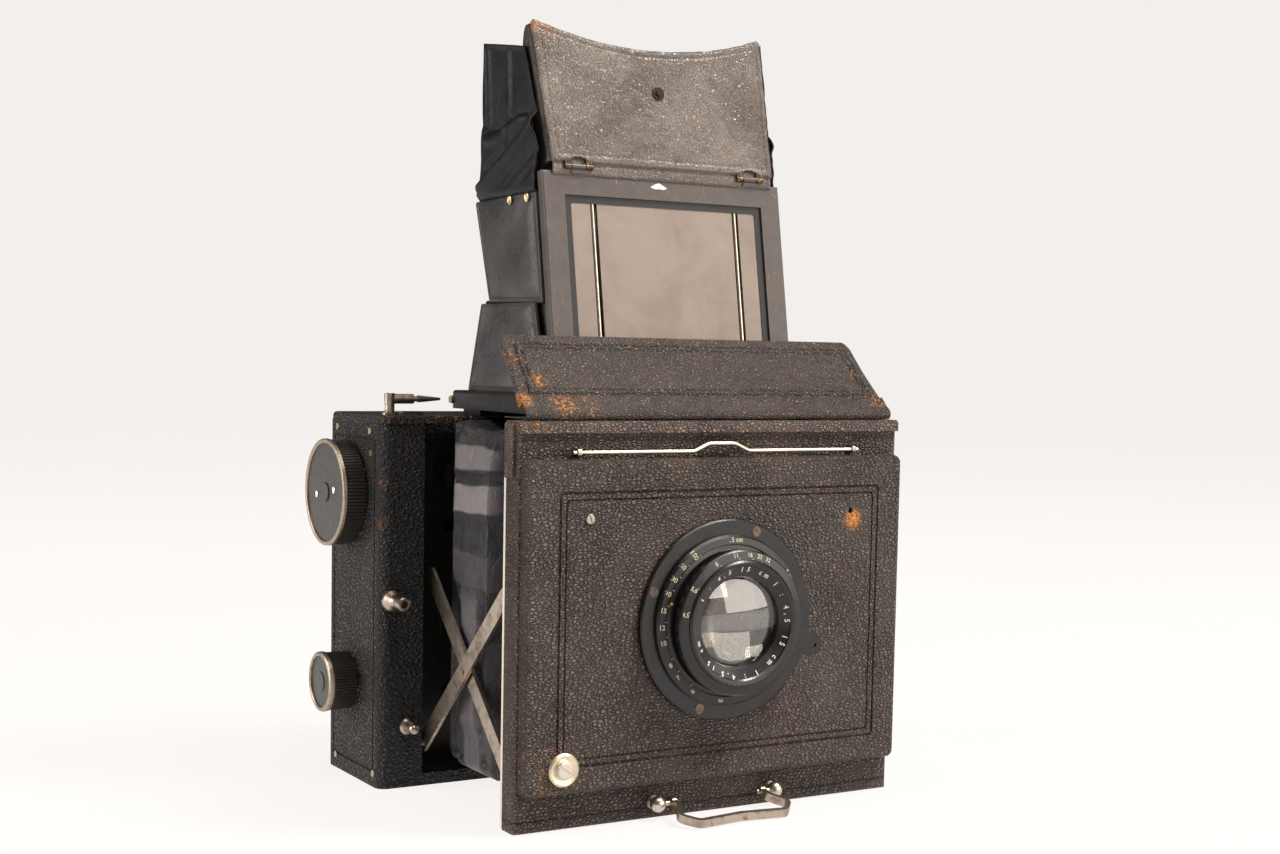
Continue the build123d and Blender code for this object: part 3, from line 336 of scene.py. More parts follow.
BASE = lacquer("hood_base_black", (0.006, 0.006, 0.006), (0.014, 0.0125, 0.0125), 0.34, scuffs=0.25)
BLACK = lacquer("black_metal_lens", (0.005, 0.0045, 0.0042), (0.013, 0.0115, 0.0105), 0.27, scuffs=0.12)
SATIN_BLACK = lacquer("black_metal_satin", (0.012, 0.011, 0.01), (0.028, 0.025, 0.023), 0.4, scuffs=0.25)
HOOD_METAL = lacquer("hood_metal_rubbed", (0.034, 0.027, 0.023), (0.105, 0.083, 0.07), 0.36,
                     (0.3, 0.265, 0.235), 0.55, 2.2)
KNURL = lacquer("knob_black_knurled", (0.008, 0.006, 0.005), (0.03, 0.021, 0.016), 0.36,
                (0.13, 0.1, 0.07), 0.35, 1.2)
DIAL = lacquer("knob_dial_grey", (0.014, 0.012, 0.011), (0.04, 0.034, 0.031), 0.3,
               (0.14, 0.12, 0.105), 0.5, 1.6)

PLATE = metal("satin_plate_nickel", (0.275, 0.229, 0.198), 0.5, (0.238, 0.196, 0.166), 0.2,
              (0.05, 1.0, 1.0), 24.0, 0.06)
NICKEL = metal("bright_nickel_polished", (0.66, 0.59, 0.5), 0.24, (0.36, 0.27, 0.18), 0.45, scale=3.0)
EDGE_NICKEL = metal("bright_nickel_edge", (0.86, 0.78, 0.69), 0.34, (0.45, 0.36, 0.26), 0.2, scale=9.0)
TARNISHED = metal("tarnished_nickel_warm", (0.5, 0.42, 0.345), 0.26, (0.17, 0.115, 0.075), 0.85,
                  (1.0, 0.08, 0.08), 5.0)
SCREW = metal("tarnished_nickel_screw", (0.16, 0.125, 0.1), 0.34, (0.07, 0.045, 0.033), 0.7, scale=1.5,
              bright=[((-69.7, PANEL_FRONT - 2, 24.2), 6.0, (0.66, 0.6, 0.52)),
                      ((-60.0, PANEL_FRONT, 116.3), 4.0, (0.4, 0.35, 0.29))])
RIM = metal("tarnished_nickel_rim", (0.46, 0.385, 0.29), 0.34, (0.18, 0.125, 0.075), 0.6, scale=1.6)
BRASS = metal("brass_aged", (0.62, 0.5, 0.32), 0.3, (0.22, 0.14, 0.07), 0.7, scale=2.0)
IVORY = metal("brass_washer", (0.8, 0.7, 0.52), 0.34, (0.42, 0.3, 0.16), 0.5, scale=2.5)


def fittings_material():
    """Dark aged brass for the hinges, and a black stud with a bright middle."""
    s = Surface("brass_fittings")
    old = s.mix(s.ramp(s.noise(1.6, 5.0, 0.7), 0.48, 0.68), (0.05, 0.034, 0.022), (0.3, 0.2, 0.1))
    stud = s.ramp(s.axis(2), 0.262, 0.266)
    black = s.mix(s.near_point(STUD, 1.1, 0.4), (0.018, 0.016, 0.015), (0.34, 0.27, 0.18))
    return s.finish(s.mix(stud, old, black), s.between(s.noise(1.0), 0.28, 0.42), metal=0.6,
                    normal=s.bump(s.noise(0.6), 0.02))


def glass_material(name, tint, rough, mirrored=0.0):
    s = Surface(name)
    s.put(s.bsdf, {"Transmission Weight": 1.0, "IOR": 1.62, "Specular Tint": (0.85, 0.93, 1.0)})
    return s.finish(tint, s.between(s.noise(6.0), rough, rough + 0.004), mirrored)


def mirror_material():
    s = Surface("mirror_silver")
    dust = s.ramp(s.noise(1.2, 5.0, 0.7), 0.55, 0.85)
    return s.finish(s.mix(dust, (0.9, 0.9, 0.89), (0.6, 0.58, 0.54)), s.between(dust, 0.03, 0.16), 1.0)


def cloth(name, dark, light, weave=0.45):
    """The start of a cloth: its surface, clouded colour, threads and clouds."""
    s = Surface(name)
    waves = [s.node("TexWave", {"Vector": s.place, "Scale": 1.0 / (weave * MM * 6.28) * 2},
                    wave_type="BANDS", bands_direction=along).outputs["Fac"] for along in "ZY"]
    cloud = s.noise(9.0, 6.0, 0.65, warp=0.8)
    return s, s.mix(s.ramp(cloud, 0.3, 0.75), dark, light), s.times(*waves), cloud


def bellows_material():
    """Blue-black rubberised cloth, with lighter stripes of painted light along the upper faces of the folds on
    each side, strongest on the upper part, and on the bulge low down, all on the half next to the body.
    """
    s, color, threads, cloud = cloth("bellows_cloth", (0.007, 0.0066, 0.0075), (0.03, 0.0283, 0.031))
    y, z = s.axis(1), s.axis(2)
    wavy = s.math("ADD", z, s.times(s.minus(s.noise(30.0, 2.0), 0.5), 0.006))
    # Painted light: the lighter stripes stand on the upper faces of the side folds.
    painted_light_bands = 0.0
    for low, high, share in ((130.5, 139.0, 0.55), (114.0, 124.5, 0.75), (84.0, 98.0, 0.12),
                             (16.0, 64.0, 0.12)):
        here = s.times(s.ramp(wavy, (low - 0.6) * MM, (low + 0.6) * MM),
                       s.ramp(wavy, (high + 0.6) * MM, (high - 0.6) * MM))
        painted_light_bands = s.math("MAXIMUM", s.times(here, share), painted_light_bands)
    painted_light_bands = s.times(painted_light_bands, s.between(s.ramp(y, -0.092, -0.08), 0.35, 1.0))
    painted_light_bands = s.times(painted_light_bands, s.ramp(y, -76 * MM, -71 * MM))
    # Painted light on the bulge low down each side.
    painted_light_strip = s.times(s.ramp(y, -0.0625, -0.0605), s.ramp(y, -0.0465, -0.0485))
    painted_light_strip = s.times(painted_light_strip, s.ramp(wavy, 0.086, 0.074))
    painted_light_bands = s.math("MAXIMUM", painted_light_bands, s.times(painted_light_strip, 0.3))
    color = s.mix(painted_light_bands, color, (0.27, 0.246, 0.254))
    color = s.over(color, (0.12, 0.105, 0.098), s.ramp(s.noise(3.0, 5.0, 0.7), 0.55, 0.8), 0.22)
    folds = s.math("ABSOLUTE", s.minus(s.noise(14.0, 6.0, 0.6, warp=1.4), 0.5))
    normal = s.bump(threads, 0.03, s.bump(s.ramp(folds, 0.0, 0.05), 0.18, s.bump(painted_light_bands, 0.25)))
    return s.finish(color, s.between(cloud, 0.42, 0.62), normal=normal)


def curtain_material():
    s, color, threads, _ = cloth("curtain_cloth", (0.01, 0.01, 0.01), (0.026, 0.025, 0.025))
    return s.finish(color, 0.6, normal=s.bump(threads, 0.03))


def ink(name, color):
    """Paint in marks and numbers, worn in places."""
    s = Surface(name)
    return s.finish(s.mix(s.ramp(s.noise(0.5, 3.0), 0.45, 0.75), color, scaled(color, 0.55)), 0.5)


BELLOWS, CURTAIN = bellows_material(), curtain_material()
CREAM = ink("numbers_cream", (0.62, 0.55, 0.38))
WHITE = ink("numbers_white", (0.8, 0.8, 0.78))
ORANGE = ink("index_orange", (0.75, 0.36, 0.06))
# The finder rim's near black is painted shadow in the plates' recess.
RIM_SHADOW_BLACK = ink("rim_shadow_black", (0.004, 0.0036, 0.0034))
FAINT = ink("marks_faint", (0.16, 0.13, 0.11))
CHIP = ink("paint_chip", (0.86, 0.84, 0.82))

for look, names in (
        (BODY, "body_shell rear_cover"), (COVER, "top_cover"), (PANEL, "lens_panel"),
        (FRAME_LEATHER, "front_frame"), (MOULDING, "top_moulding"), (FLAP, "top_flap"),
        (HOOD, "hood_lower_walls hood_middle_walls"), (SOFT, "hood_upper_walls"), (VISOR, "visor"),
        (BELLOWS, "bellows"), (BASE, "hood_base"), (HOOD_METAL, "hood_front_frame"),
        (PLATE, "finder_plates"), (NICKEL, "finder_rods ball_studs wire_latch"), (RIM, "knob_rim"),
        (EDGE_NICKEL, "back_plate"), (SCREW, "standard_screws"), (BRASS, "body_screws tripod_bush"),
        (TARNISHED, "cable_release_socket mirror_button bail_foot rear_struts front_struts strut_brackets"
                    " pivot_pins release_post release_lever button_sleeve latch_eyes upper_roller"
                    " lower_roller winding_gear"),
        (fittings_material(), "visor_fittings"), (IVORY, "panel_washer"),
        (KNURL, "winding_knob tension_knob"), (DIAL, "knob_dial"),
        (BLACK, "lens_flange focus_scale focus_barrel aperture_ring lens_tube name_ring"),
        (SATIN_BLACK, "iris_blades shutter_frame mirror_carrier mirror_frame flap_hinge plate_holder"
                      " dark_slide"),
        (glass_material("glass_lens", (1.0, 0.95, 0.88), 0.0, 0.08), "front_element rear_element"),
        (glass_material("ground_glass_fine", (0.9, 0.9, 0.88), 0.45), "ground_glass"),
        (mirror_material(), "mirror_glass"), (CURTAIN, "curtain")):
    for name in names.split():
        mesh = NODES[name].data
        mesh.materials.clear()
        mesh.materials.append(look)


# ---- mesh helpers
def piece(name, points, faces, material, body, replaces=(), slot=None, angle=38.0):
    """A mesh piece from points in millimetres, riding on a body.
    Its shading is smooth, with the edges sharper than angle kept crisp."""
    mesh = bpy.data.meshes.new(name)
    mesh.from_pydata([[c * MM for c in p] for p in points], [], faces)
    mesh.validate()
    mesh.update()
    for face in mesh.polygons:
        face.use_smooth = True
    mesh.set_sharp_from_angle(angle=radians(angle))
    mesh.materials.append(material)
    made = bpy.data.objects.new(name, mesh)
    bpy.context.scene.collection.objects.link(made)
    if body:
        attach(made, body)
    if replaces:
        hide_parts(*replaces)
    return made


def thicken(made, thickness):
    """Gives a sheet its thickness in millimetres, half on each side."""
    solid = made.modifiers.new("thickness", "SOLIDIFY")
    solid.thickness = thickness * MM
    solid.offset = 0.0


def grid_faces(rows, columns):
    return [(a, a + 1, a + columns + 1, a + columns)
            for i in range(rows - 1) for a in range(i * columns, (i + 1) * columns - 1)]


def loop_faces(first, second, count):
    """Faces between two closed loops of count points, which start at first and second."""
    return [(first + j, first + (j + 1) % count, second + (j + 1) % count, second + j) for j in range(count)]


def joined(parts):
    """One (points, faces) from several."""
    points, faces = [], []
    for more, shapes in parts:
        start = len(points)
        points += more
        faces += [tuple(start + v for v in shape) for shape in shapes]
    return points, faces


def slab(name, us, vs, place, material, body, **settings):
    """A closed leather-covered board: two grids over us and vs, joined round their borders.
    place(u, v, side) gives a point, and side is -1 for the front face and 1 for the back."""
    columns, rows = len(us), len(vs)
    points = [place(u, v, side) for side in (-1, 1) for v in vs for u in us]
    half = columns * rows
    front = grid_faces(rows, columns)
    faces = front + [tuple(half + v for v in face[::-1]) for face in front]
    rim = list(range(columns)) + [i * columns + columns - 1 for i in range(1, rows)]
    rim += [(rows - 1) * columns + j for j in range(columns - 2, -1, -1)]
    rim += [i * columns for i in range(rows - 2, 0, -1)]
    faces += [(b, a, a + half, b + half) for a, b in zip(rim, rim[1:] + rim[:1])]
    return piece(name, points, faces, material, body, angle=60, **settings)


def samples(low, high, step, fine=(), fine_step=0.35, reach=1.6):
    """Places from low to high, closer together near the values in fine and near both ends."""
    least_gap = 0.12
    steps = max(1, round((high - low) / step))
    values = {low, high, *(low + (high - low) * i / steps for i in range(steps + 1))}
    count = round(2 * reach / fine_step)
    for centre in (*fine, low, high):
        values.update(centre - reach + fine_step * i for i in range(count + 1))
    kept = sorted(v for v in values if low <= v <= high)
    result = kept[:1]
    for value in kept[1:]:
        if value - result[-1] > least_gap:
            result.append(value)
    result[-1] = high
    return result


def leaned(point, line, lean):
    """Takes (x, v, w), drawn upright at a hinge line, to its place leaning back by lean degrees."""
    x, v, w = point
    c, s = cos(radians(lean)), sin(radians(lean))
    return (x, line[0] + v * c + w * s, line[1] - v * s + w * c)


def rough_noise(x, y, z, size, seed=0.0):
    return noise.noise(Vector((x / size + seed, y / size - seed * 0.7, z / size + seed * 1.3)))


def groove(distance, centre, width):
    """1 at centre, falling to 0 at half a width away."""
    gap = abs(distance - centre) / (width / 2)
    return 0.0 if gap >= 1 else (1 - gap * gap) ** 2


def crease(distance, width):
    return exp(-(distance / width) ** 2)


def clipped(value):
    return min(1.0, max(0.0, value))


def rounded(gap, thickness):
    """Half a board's thickness at a gap from its rim, which is rounded."""
    if gap >= thickness:
        return thickness
    return thickness * sqrt(max(0.0, 1 - (1 - gap / thickness) ** 2))


# ---- visor
VISOR_FOOT, VISOR_FOOT_HALF, VISOR_TOP_HALF = 1.6, 51.6, 54.2
VISOR_CURL_FROM, VISOR_SWAY, RIGHT_CURL = 0.55, 0.7, 0.6


def visor_top(x):
    """Height of the visor's hollow top edge."""
    half, dip = VISOR_TOP_HALF, 9.6
    radius = (half * half + dip * dip) / (2 * dip)
    hollow = 61.2 - dip + radius - sqrt(max(0.0, radius * radius - x * x))
    return hollow + 0.022 * x - 2.0 * max(0.0, abs(x) / half - 0.975) * 40


def visor_point(u, v, side):
    half = VISOR_FOOT_HALF + (VISOR_TOP_HALF - VISOR_FOOT_HALF) * v
    x = u * half
    top = visor_top(x)
    w = VISOR_FOOT + v * (top - VISOR_FOOT)
    # The lower edge is cut away over the two hinges.
    w += 2.3 * groove(abs(x), 40.0, 14.0) * max(0.0, 1 - (w - VISOR_FOOT) / 4.6)
    edge = min((1 - abs(u)) * half, w - VISOR_FOOT, top - w)
    thick = rounded(edge, 1.1)
    if side < 0:
        thick -= 0.34 * groove(edge, 3.2, 1.5) - 0.12 * groove(edge, 1.9, 1.4)
    curl = 1.6 * max(0.0, v - VISOR_CURL_FROM) ** 2 * u * u * (1.0 if u < 0 else RIGHT_CURL)
    clear = min(1.0, (w - VISOR_FOOT) / 12.0)
    sway = clear * (VISOR_SWAY * (u * u - 0.4) + 0.35 * rough_noise(x, 0, w, 26.0, 3.1))
    ragged = 0.35 * rough_noise(x, 2, w, 4.0, 1.7) * max(0.0, 1 - edge / 2.0) if v > 0.1 else 0.0
    return leaned((x + (ragged if abs(u) > 0.9 else 0), side * thick - curl + sway, w + ragged),
                  VISOR_LINE, VISOR_LEAN)


visor_us = [x / 54.0 for x in samples(-54.0, 54.0, 2.2, (-50.8, 50.8), 0.4)]
visor_vs = [z / 50.0 for z in samples(0.0, 50.0, 2.0, (3.2, 46.8), 0.4)]
slab("visor_board", visor_us, visor_vs, visor_point, VISOR, "visor", replaces=["visor"], slot="visor_leather")


def visor_side(side, tag):
    """The stiff leather edge that turns back from an end of the visor."""
    steps = samples(1.8, 58.6 + 1.2 * side, 1.6, (), 0.4, 0.8)
    profile = [(0.1, -0.5), (0.75, 0.2), (0.95, 1.2), (0.85, 3.0), (1.05, 5.4), (0.95, 7.2), (0.55, 8.2),
               (0.0, 8.4), (-0.5, 8.0), (-0.75, 5.0), (-0.7, 1.6)]
    points = []
    for w in steps:
        v = w / 61.0
        half = VISOR_FOOT_HALF + 2.6 * v
        share = clipped((w - visor_top(side * half) + 9.0) / 9.0)
        bow = VISOR_SWAY * 0.6 - 1.6 * max(0.0, v - VISOR_CURL_FROM) ** 2 * (1.0 if side < 0 else RIGHT_CURL)
        for out, deep in profile:
            rag = 0.25 * rough_noise(w, deep, side, 2.2, 3.0)
            depth = deep * (1 - 0.75 * share ** 1.5)
            points.append(leaned((side * (half + out + rag), depth + bow, w), VISOR_LINE, VISOR_LEAN))
    count, last = len(profile), (len(steps) - 1) * len(profile)
    faces = [f for i in range(0, last, count) for f in loop_faces(i, i + count, count)]
    if side > 0:
        faces = [f[:1] + f[:0:-1] for f in faces]
    faces += [tuple(range(count))[::side], tuple(range(last, last + count))[::-side]]
    piece(f"visor_side_{tag}", points, faces, SOFT_EDGE, "visor", slot="visor_leather", angle=50)


for side, tag in SIDES:
    visor_side(side, tag)


def hinge_strip(name, path, us, place, thickness, line, start, end, material):
    """Thin leather over a hinge line. place(x, step, y, z) gives a point for a step of path. start and end,
    each (dy, dz) in millimetres from the line, are not used."""
    points = [place(x, step, y, z) for step, (y, z) in enumerate(path) for x in us]
    made = piece(name, points, grid_faces(len(path), len(us)), material, None, angle=70)
    thicken(made, thickness)
    start, end = ((0, line[0] * MM + dy * MM, line[1] * MM + dz * MM) for dy, dz in (start, end))
    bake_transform(made)
    return made


def visor_strip_point(x, step, deep, up):
    lean = radians(HOOD_LEAN)
    wave = 0.12 * rough_noise(x, up, 0, 5.0, 9.0)
    return x, VISOR_LINE[0] + deep + up * sin(lean) + wave, VISOR_LINE[1] + up * cos(lean)


# Leather closes the gap between the hood frame's top and the visor.
hinge_strip("visor_hinge_leather",
            [(1.2, -3.4), (0.9, -2.2), (0.5, -1.0), (0.35, 0.0), (0.45, 1.0), (0.55, 2.2), (0.62, 3.4)],
            samples(-51.0, 51.0, 2.0, (), 0.5), visor_strip_point, 0.35,
            VISOR_LINE, (0, -1), (0, 1.2), VISOR)


# ---- top flap
FLAP_FOOT, FLAP_TOP, FLAP_HALF, FLAP_TAPER = 3.0, 39.0, 84.0, 2.5


def flap_half(w):
    """Half the flap's width at height w, with its rounded upper corners and slightly hollow ends."""
    share = (w - FLAP_FOOT) / (FLAP_TOP - FLAP_FOOT)
    half = FLAP_HALF - FLAP_TAPER * share - 0.9 * sin(pi * clipped(share))
    radius = 5.0
    past = w - (FLAP_TOP - radius)
    if past > 0:
        half -= radius - sqrt(max(0.0, radius * radius - past * past))
    return half


def flap_point(u, w, side):
    half = flap_half(w)
    x = u * half
    straight = FLAP_HALF - FLAP_TAPER * (w - FLAP_FOOT) / (FLAP_TOP - FLAP_FOOT)
    edge = min(straight - abs(x), w - FLAP_FOOT, FLAP_TOP - w)
    rim = max(0.0, min((1 - abs(u)) * half, w - FLAP_FOOT, FLAP_TOP - w))
    thick = rounded(rim, 1.5)
    if side < 0:
        thick -= 0.75 * groove(edge, 5.4, 1.7) + 0.62 * groove(edge, 7.8, 1.4)
        thick += 0.3 * groove(edge, 6.6, 1.4)
    thick += 0.1 * rough_noise(x, side * 9, w, 11.0, 5.0)
    return leaned((x, side * max(thick, 0.0), w), FLAP_LINE, FLAP_LEAN)


flap_us = [x / 84.0 for x in samples(-84.0, 84.0, 3.0, (-78.6, -77.4, -76.2, 76.2, 77.4, 78.6), 0.4)]
flap_ws = samples(FLAP_FOOT, FLAP_TOP, 2.0, (8.4, 9.6, 10.8, 31.2, 32.4, 33.6), 0.3)
slab("flap_board", flap_us, flap_ws, flap_point, FLAP, "top_flap", replaces=["top_flap"], slot="front_leather")


def flap_strip_point(x, step, y, z):
    swell = 0.14 * rough_noise(x, 4 * step, 0, 6.0, 2.0)
    return x, FLAP_LINE[0] + y - swell, FLAP_LINE[1] + z


# Leather wraps the flap's knuckles, from its face down to the leaf under them.
flap_strip = hinge_strip(
    "flap_hinge_leather",
    [(-0.2, -2.05), (-1.5, -1.95), (-2.35, -1.1), (-2.5, 0.2), (-1.9, 1.4), (-0.8, 2.2), (0.3, 2.85),
     (1.3, 3.95), (2.4, 5.15), (3.5, 6.3)],
    samples(-83.2, 83.2, 2.5, (), 0.5), flap_strip_point, 0.4,
    FLAP_LINE, (-1, -1.5), (1, 3.5), FLAP)


# ---- hood walls
BOARD_THICKNESS = 1.2


def board_outline(corners, radii, steps=7):
    """A closed outline through corners, each rounded by its own radius."""
    outline = []
    for i, radius in enumerate(radii):
        here = Vector(corners[i])
        if radius <= 0:
            outline.append(here)
            continue
        before, after = Vector(corners[i - 1]) - here, Vector(corners[(i + 1) % len(corners)]) - here
        half = before.angle(after) / 2
        reach = radius / tan(half)
        before, after = before.normalized(), after.normalized()
        centre = here + (before + after).normalized() * (radius / sin(half))
        a, b = here + before * reach - centre, here + after * reach - centre
        for step in range(steps + 1):
            t = step / steps
            outline.append(centre + a.slerp(b, t, a.lerp(b, t)))
    return outline


def board(name, corners, radii, outward, replaces=()):
    """A stiff leather-covered board in the plane of its corners, with rounded rims and a pressed line."""
    outline = board_outline(corners, radii)
    outward = Vector(outward).normalized()
    middle = sum(outline, Vector()) / len(outline)
    rings = [(1.0, -BOARD_THICKNESS), (1.0, -0.45), (0.9925, -0.12), (0.98, 0.0), (0.93, 0.02),
             (0.922, -0.22), (0.905, -0.22), (0.897, 0.04), (0.6, 0.22), (0.3, 0.32)]
    points = [tuple(middle + (p - middle) * share + outward * lift) for share, lift in rings for p in outline]
    points.append(tuple(middle + outward * 0.34))
    count, last = len(outline), (len(rings) - 1) * len(outline)
    faces = [f for i in range(0, last, count) for f in loop_faces(i, i + count, count)]
    faces += [(last + j, last + (j + 1) % count, len(points) - 1) for j in range(count)]
    faces.append(tuple(range(count))[::-1])
    fold_away(piece(name, points, faces, HOOD, "rear_body", replaces, "hood_leather", 50))


def fold_away(made):
    """Gives a piece of the hood's leather its own copy of its mesh."""
    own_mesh(made)


# Each stiff tier: half its width, and its front edge, rear and height at the foot and at the top.
for key, half, (front, back, low), (front_high, back_high, high), radii in (
        ("lower", 57.6, (34.2, 102.6, 160.7), (40.6, 95.6, 200.6), (0, 0.5, 5.5, 5.5)),
        ("middle", 56.2, (39.7, 88.2, 195.2), (47.1, 103.4, 239.4), (1.5, 2.5, 2.5, 1.5))):
    for side, tag in SIDES:
        corners = [(side * half, STAND_FRONT + y, z) for y, z in (
            (front, low), (back, low), (back_high, high), (front_high, high))]
        board(f"hood_{key}_{tag}", corners, radii, (side, 0, 0), [f"hood_{key}_walls"] if side < 0 else [])
    corners = [(x * (half - BOARD_THICKNESS), STAND_FRONT + y, z) for x, y, z in (
        (1, back, low), (-1, back, low), (-1, back_high, high), (1, back_high, high))]
    board(f"hood_{key}_back", corners, (0.5, 0.5, 4.0, 4.0), (0, high - low, back - back_high))

# The soft leather's height, front edge, rear and half width, at each change of direction.
HOOD_STOPS = [
    (160.6, 35.6, 101.0, 55.7), (196.2, 40.9, 94.0, 55.2), (199.0, 41.4, 88.0, 54.6),
    (238.0, 47.6, 101.6, 54.6), (240.4, 47.8, 101.4, 56.5), (246.0, 48.5, 99.6, 56.2),
    (255.0, 46.4, 98.2, 56.0), (266.0, 49.2, 97.1, 55.8), (268.5, 49.9, 95.9, 55.7), (302.0, 59.0, 96.9, 56.0)]
SOFT_FROM, HOOD_TOP, DROOP_FROM, WALL_CORNER = 240.5, 302, 262.0, 2.5


def hood_section(z):
    """Front edge, rear and half width of the soft leather at height z."""
    for low, high in zip(HOOD_STOPS, HOOD_STOPS[1:]):
        if z <= high[0]:
            t = (z - low[0]) / (high[0] - low[0])
            return [a + (b - a) * t for a, b in zip(low[1:], high[1:])]
    return HOOD_STOPS[-1][1:]


def side_relief(share, z):
    """How far the soft leather of a side wall stands out. share is 0 at the front and 1 at the rear."""
    above = z - (243.5 + 25.0 * (1 - share))
    level = 267.5 + 2.5 * sin(share * 6.0)
    upright = 0.4 + (HOOD_TOP - z) / 58.0 * 0.22
    push = 2.6 * crease(above + 3.0, 4.5) - 1.8 * crease(above - 2.5, 2.2)
    if above < 0:
        push += 0.22 * sin(above * 1.1 + share * 5.0) * min(1.0, -above / 3.0)
    else:
        push -= 0.9 * crease(z - level, 1.1)
        push += 0.8 * crease(z - level + 3.0, 2.2)
        push += 1.0 * crease((share - upright) * 45.0, 1.2) * min(1.0, above / 6.0)
        push += 0.7 * crease((share - 0.86) * 45.0, 1.0) * clipped((z - DROOP_FROM) / 10)
        if z > level:
            panel = share / upright if share < upright else (1 - share) / (1 - upright)
            push -= 1.5 * sin(pi * min(1.0, panel) * 0.5)
    return push


def wall_place(where, t, front, back, half):
    """A point and its outward direction on a wall of the soft leather, seen from above."""
    corner = WALL_CORNER
    depth = back - front
    if where == "left":
        return -half, front + t * (depth - corner), (-1, 0)
    if where == "right":
        return half, back - corner - t * (depth - corner), (1, 0)
    span = 2 * (half - corner)
    arc = corner * pi / 2
    run = t * (span + 2 * arc)
    if run < arc:
        a = run / corner
        return -half + corner * (1 - cos(a)), back - corner + corner * sin(a), (-cos(a), sin(a))
    if run < arc + span:
        return -half + corner + run - arc, back, (0, 1)
    a = (run - arc - span) / corner
    return half - corner + corner * sin(a), back - corner + corner * cos(a), (sin(a), cos(a))


def soft_wall(name, z_low, z_high, step, inset, material, replaces=()):
    """One sheet of leather or cloth round three sides, open in front."""
    levels = samples(z_low, z_high, step, (), 0.6, 1.2)
    plan = [(where, t / 40) for where, count in (("left", 40), ("back", 40), ("right", 41))
            for t in range(count)]
    points = []
    for level in levels:
        front, back, half = hood_section(level)
        back, half = back - inset, half - inset
        for where, t in plan:
            z = level
            x, y, normal = wall_place(where, t, front, back, half)
            share = (y - front) / (back - front)
            push = 0.22 * rough_noise(x, y, z, 9.0, 4.0)
            if x > 0:
                push -= 3.0 * crease(z - 270.0, 17.0) * (1 - share)
                z += 4.5 * x / half * max(0.0, (z - 285.0) / 17.0)
            if z > SOFT_FROM:
                settle = min(1.0, (z - SOFT_FROM) / 4)
                if where != "back":
                    push += side_relief(share, level) * settle
                else:
                    push = 1.1 * sin(t * 9 + z * 0.05) * sin((z - 239.5) / 62.5 * pi)
                push += 0.35 * rough_noise(x, y, z, 10.0, 7.0 + (1 if x > 0 else 0)) * settle
                if level > 299.0:
                    push *= max(0.0, (302.5 - level) / 3.5)
                droop = max(0.0, z - DROOP_FROM) / (z_high - DROOP_FROM)
                z -= 6.0 * (1 - share) * droop ** 2
            points.append((x + normal[0] * push, STAND_FRONT + y + normal[1] * push, z))
    made = piece(name, points, grid_faces(len(levels), len(plan)), material, "rear_body", replaces,
                 "hood_leather", 55)
    thicken(made, 0.7)
    fold_away(made)


soft_wall("hood_leather_upper", 236.8, 301.8, 0.9, 0.0, SOFT,
          ["hood_upper_walls"])
soft_wall("hood_lining", 160.8, 239.5, 3.0, 1.3, CURTAIN)


def turned(centre, axis, profile, count=24, slot_turn=None):
    """A turned head, as (points, faces). The profile is (radius, height) along axis, and slot_turn,
    in radians, cuts a screwdriver's slot into the head."""
    axis = Vector(axis).normalized()
    side = axis.orthogonal().normalized()
    other = axis.cross(side)
    if slot_turn is not None:
        across = side * sin(slot_turn) + other * cos(slot_turn)
    points, faces, rings = [], [], []
    for radius, height in profile:
        around = count if radius > 0 else 1
        rings.append(range(len(points), len(points) + around))
        for j in range(around):
            a = 2 * pi * j / count
            offset = side * (radius * cos(a)) + other * (radius * sin(a))
            slotted = slot_turn is not None and height > 0.3 and abs(offset.dot(across)) < 0.3
            points.append(tuple(Vector(centre) + offset + axis * (height - 0.35 if slotted else height)))
    for low, high in zip(rings, rings[1:]):
        if len(high) == 1:
            faces += [(j, low[(j - low[0] + 1) % count], high[0]) for j in low]
        else:
            faces += loop_faces(low[0], high[0], count)
    return points, faces


# Brass screws on the middle walls, two on each side.
for side, tag in SIDES:
    heads = [turned((side * 56.9, STAND_FRONT + y, z), (side, 0, 0),
                    [(1.75, 0.0), (1.75, 0.35), (1.35, 0.6), (0.0, 0.7)], 20, radians(turn))
             for y, z, turn in ((68.0, 236.6, 70), (53.3, 236.9, 15))]
    fold_away(piece(f"hood_screws_{tag}", *joined(heads), BRASS, "rear_body", slot="brass"))


# ---- knobs and finder
WINDING_Y, WINDING_Z, WINDING_FACE = 6.1, 118.0, -113.2
TENSION_Y, TENSION_Z, TENSION_FACE = 3.6, 40.0, -115.6


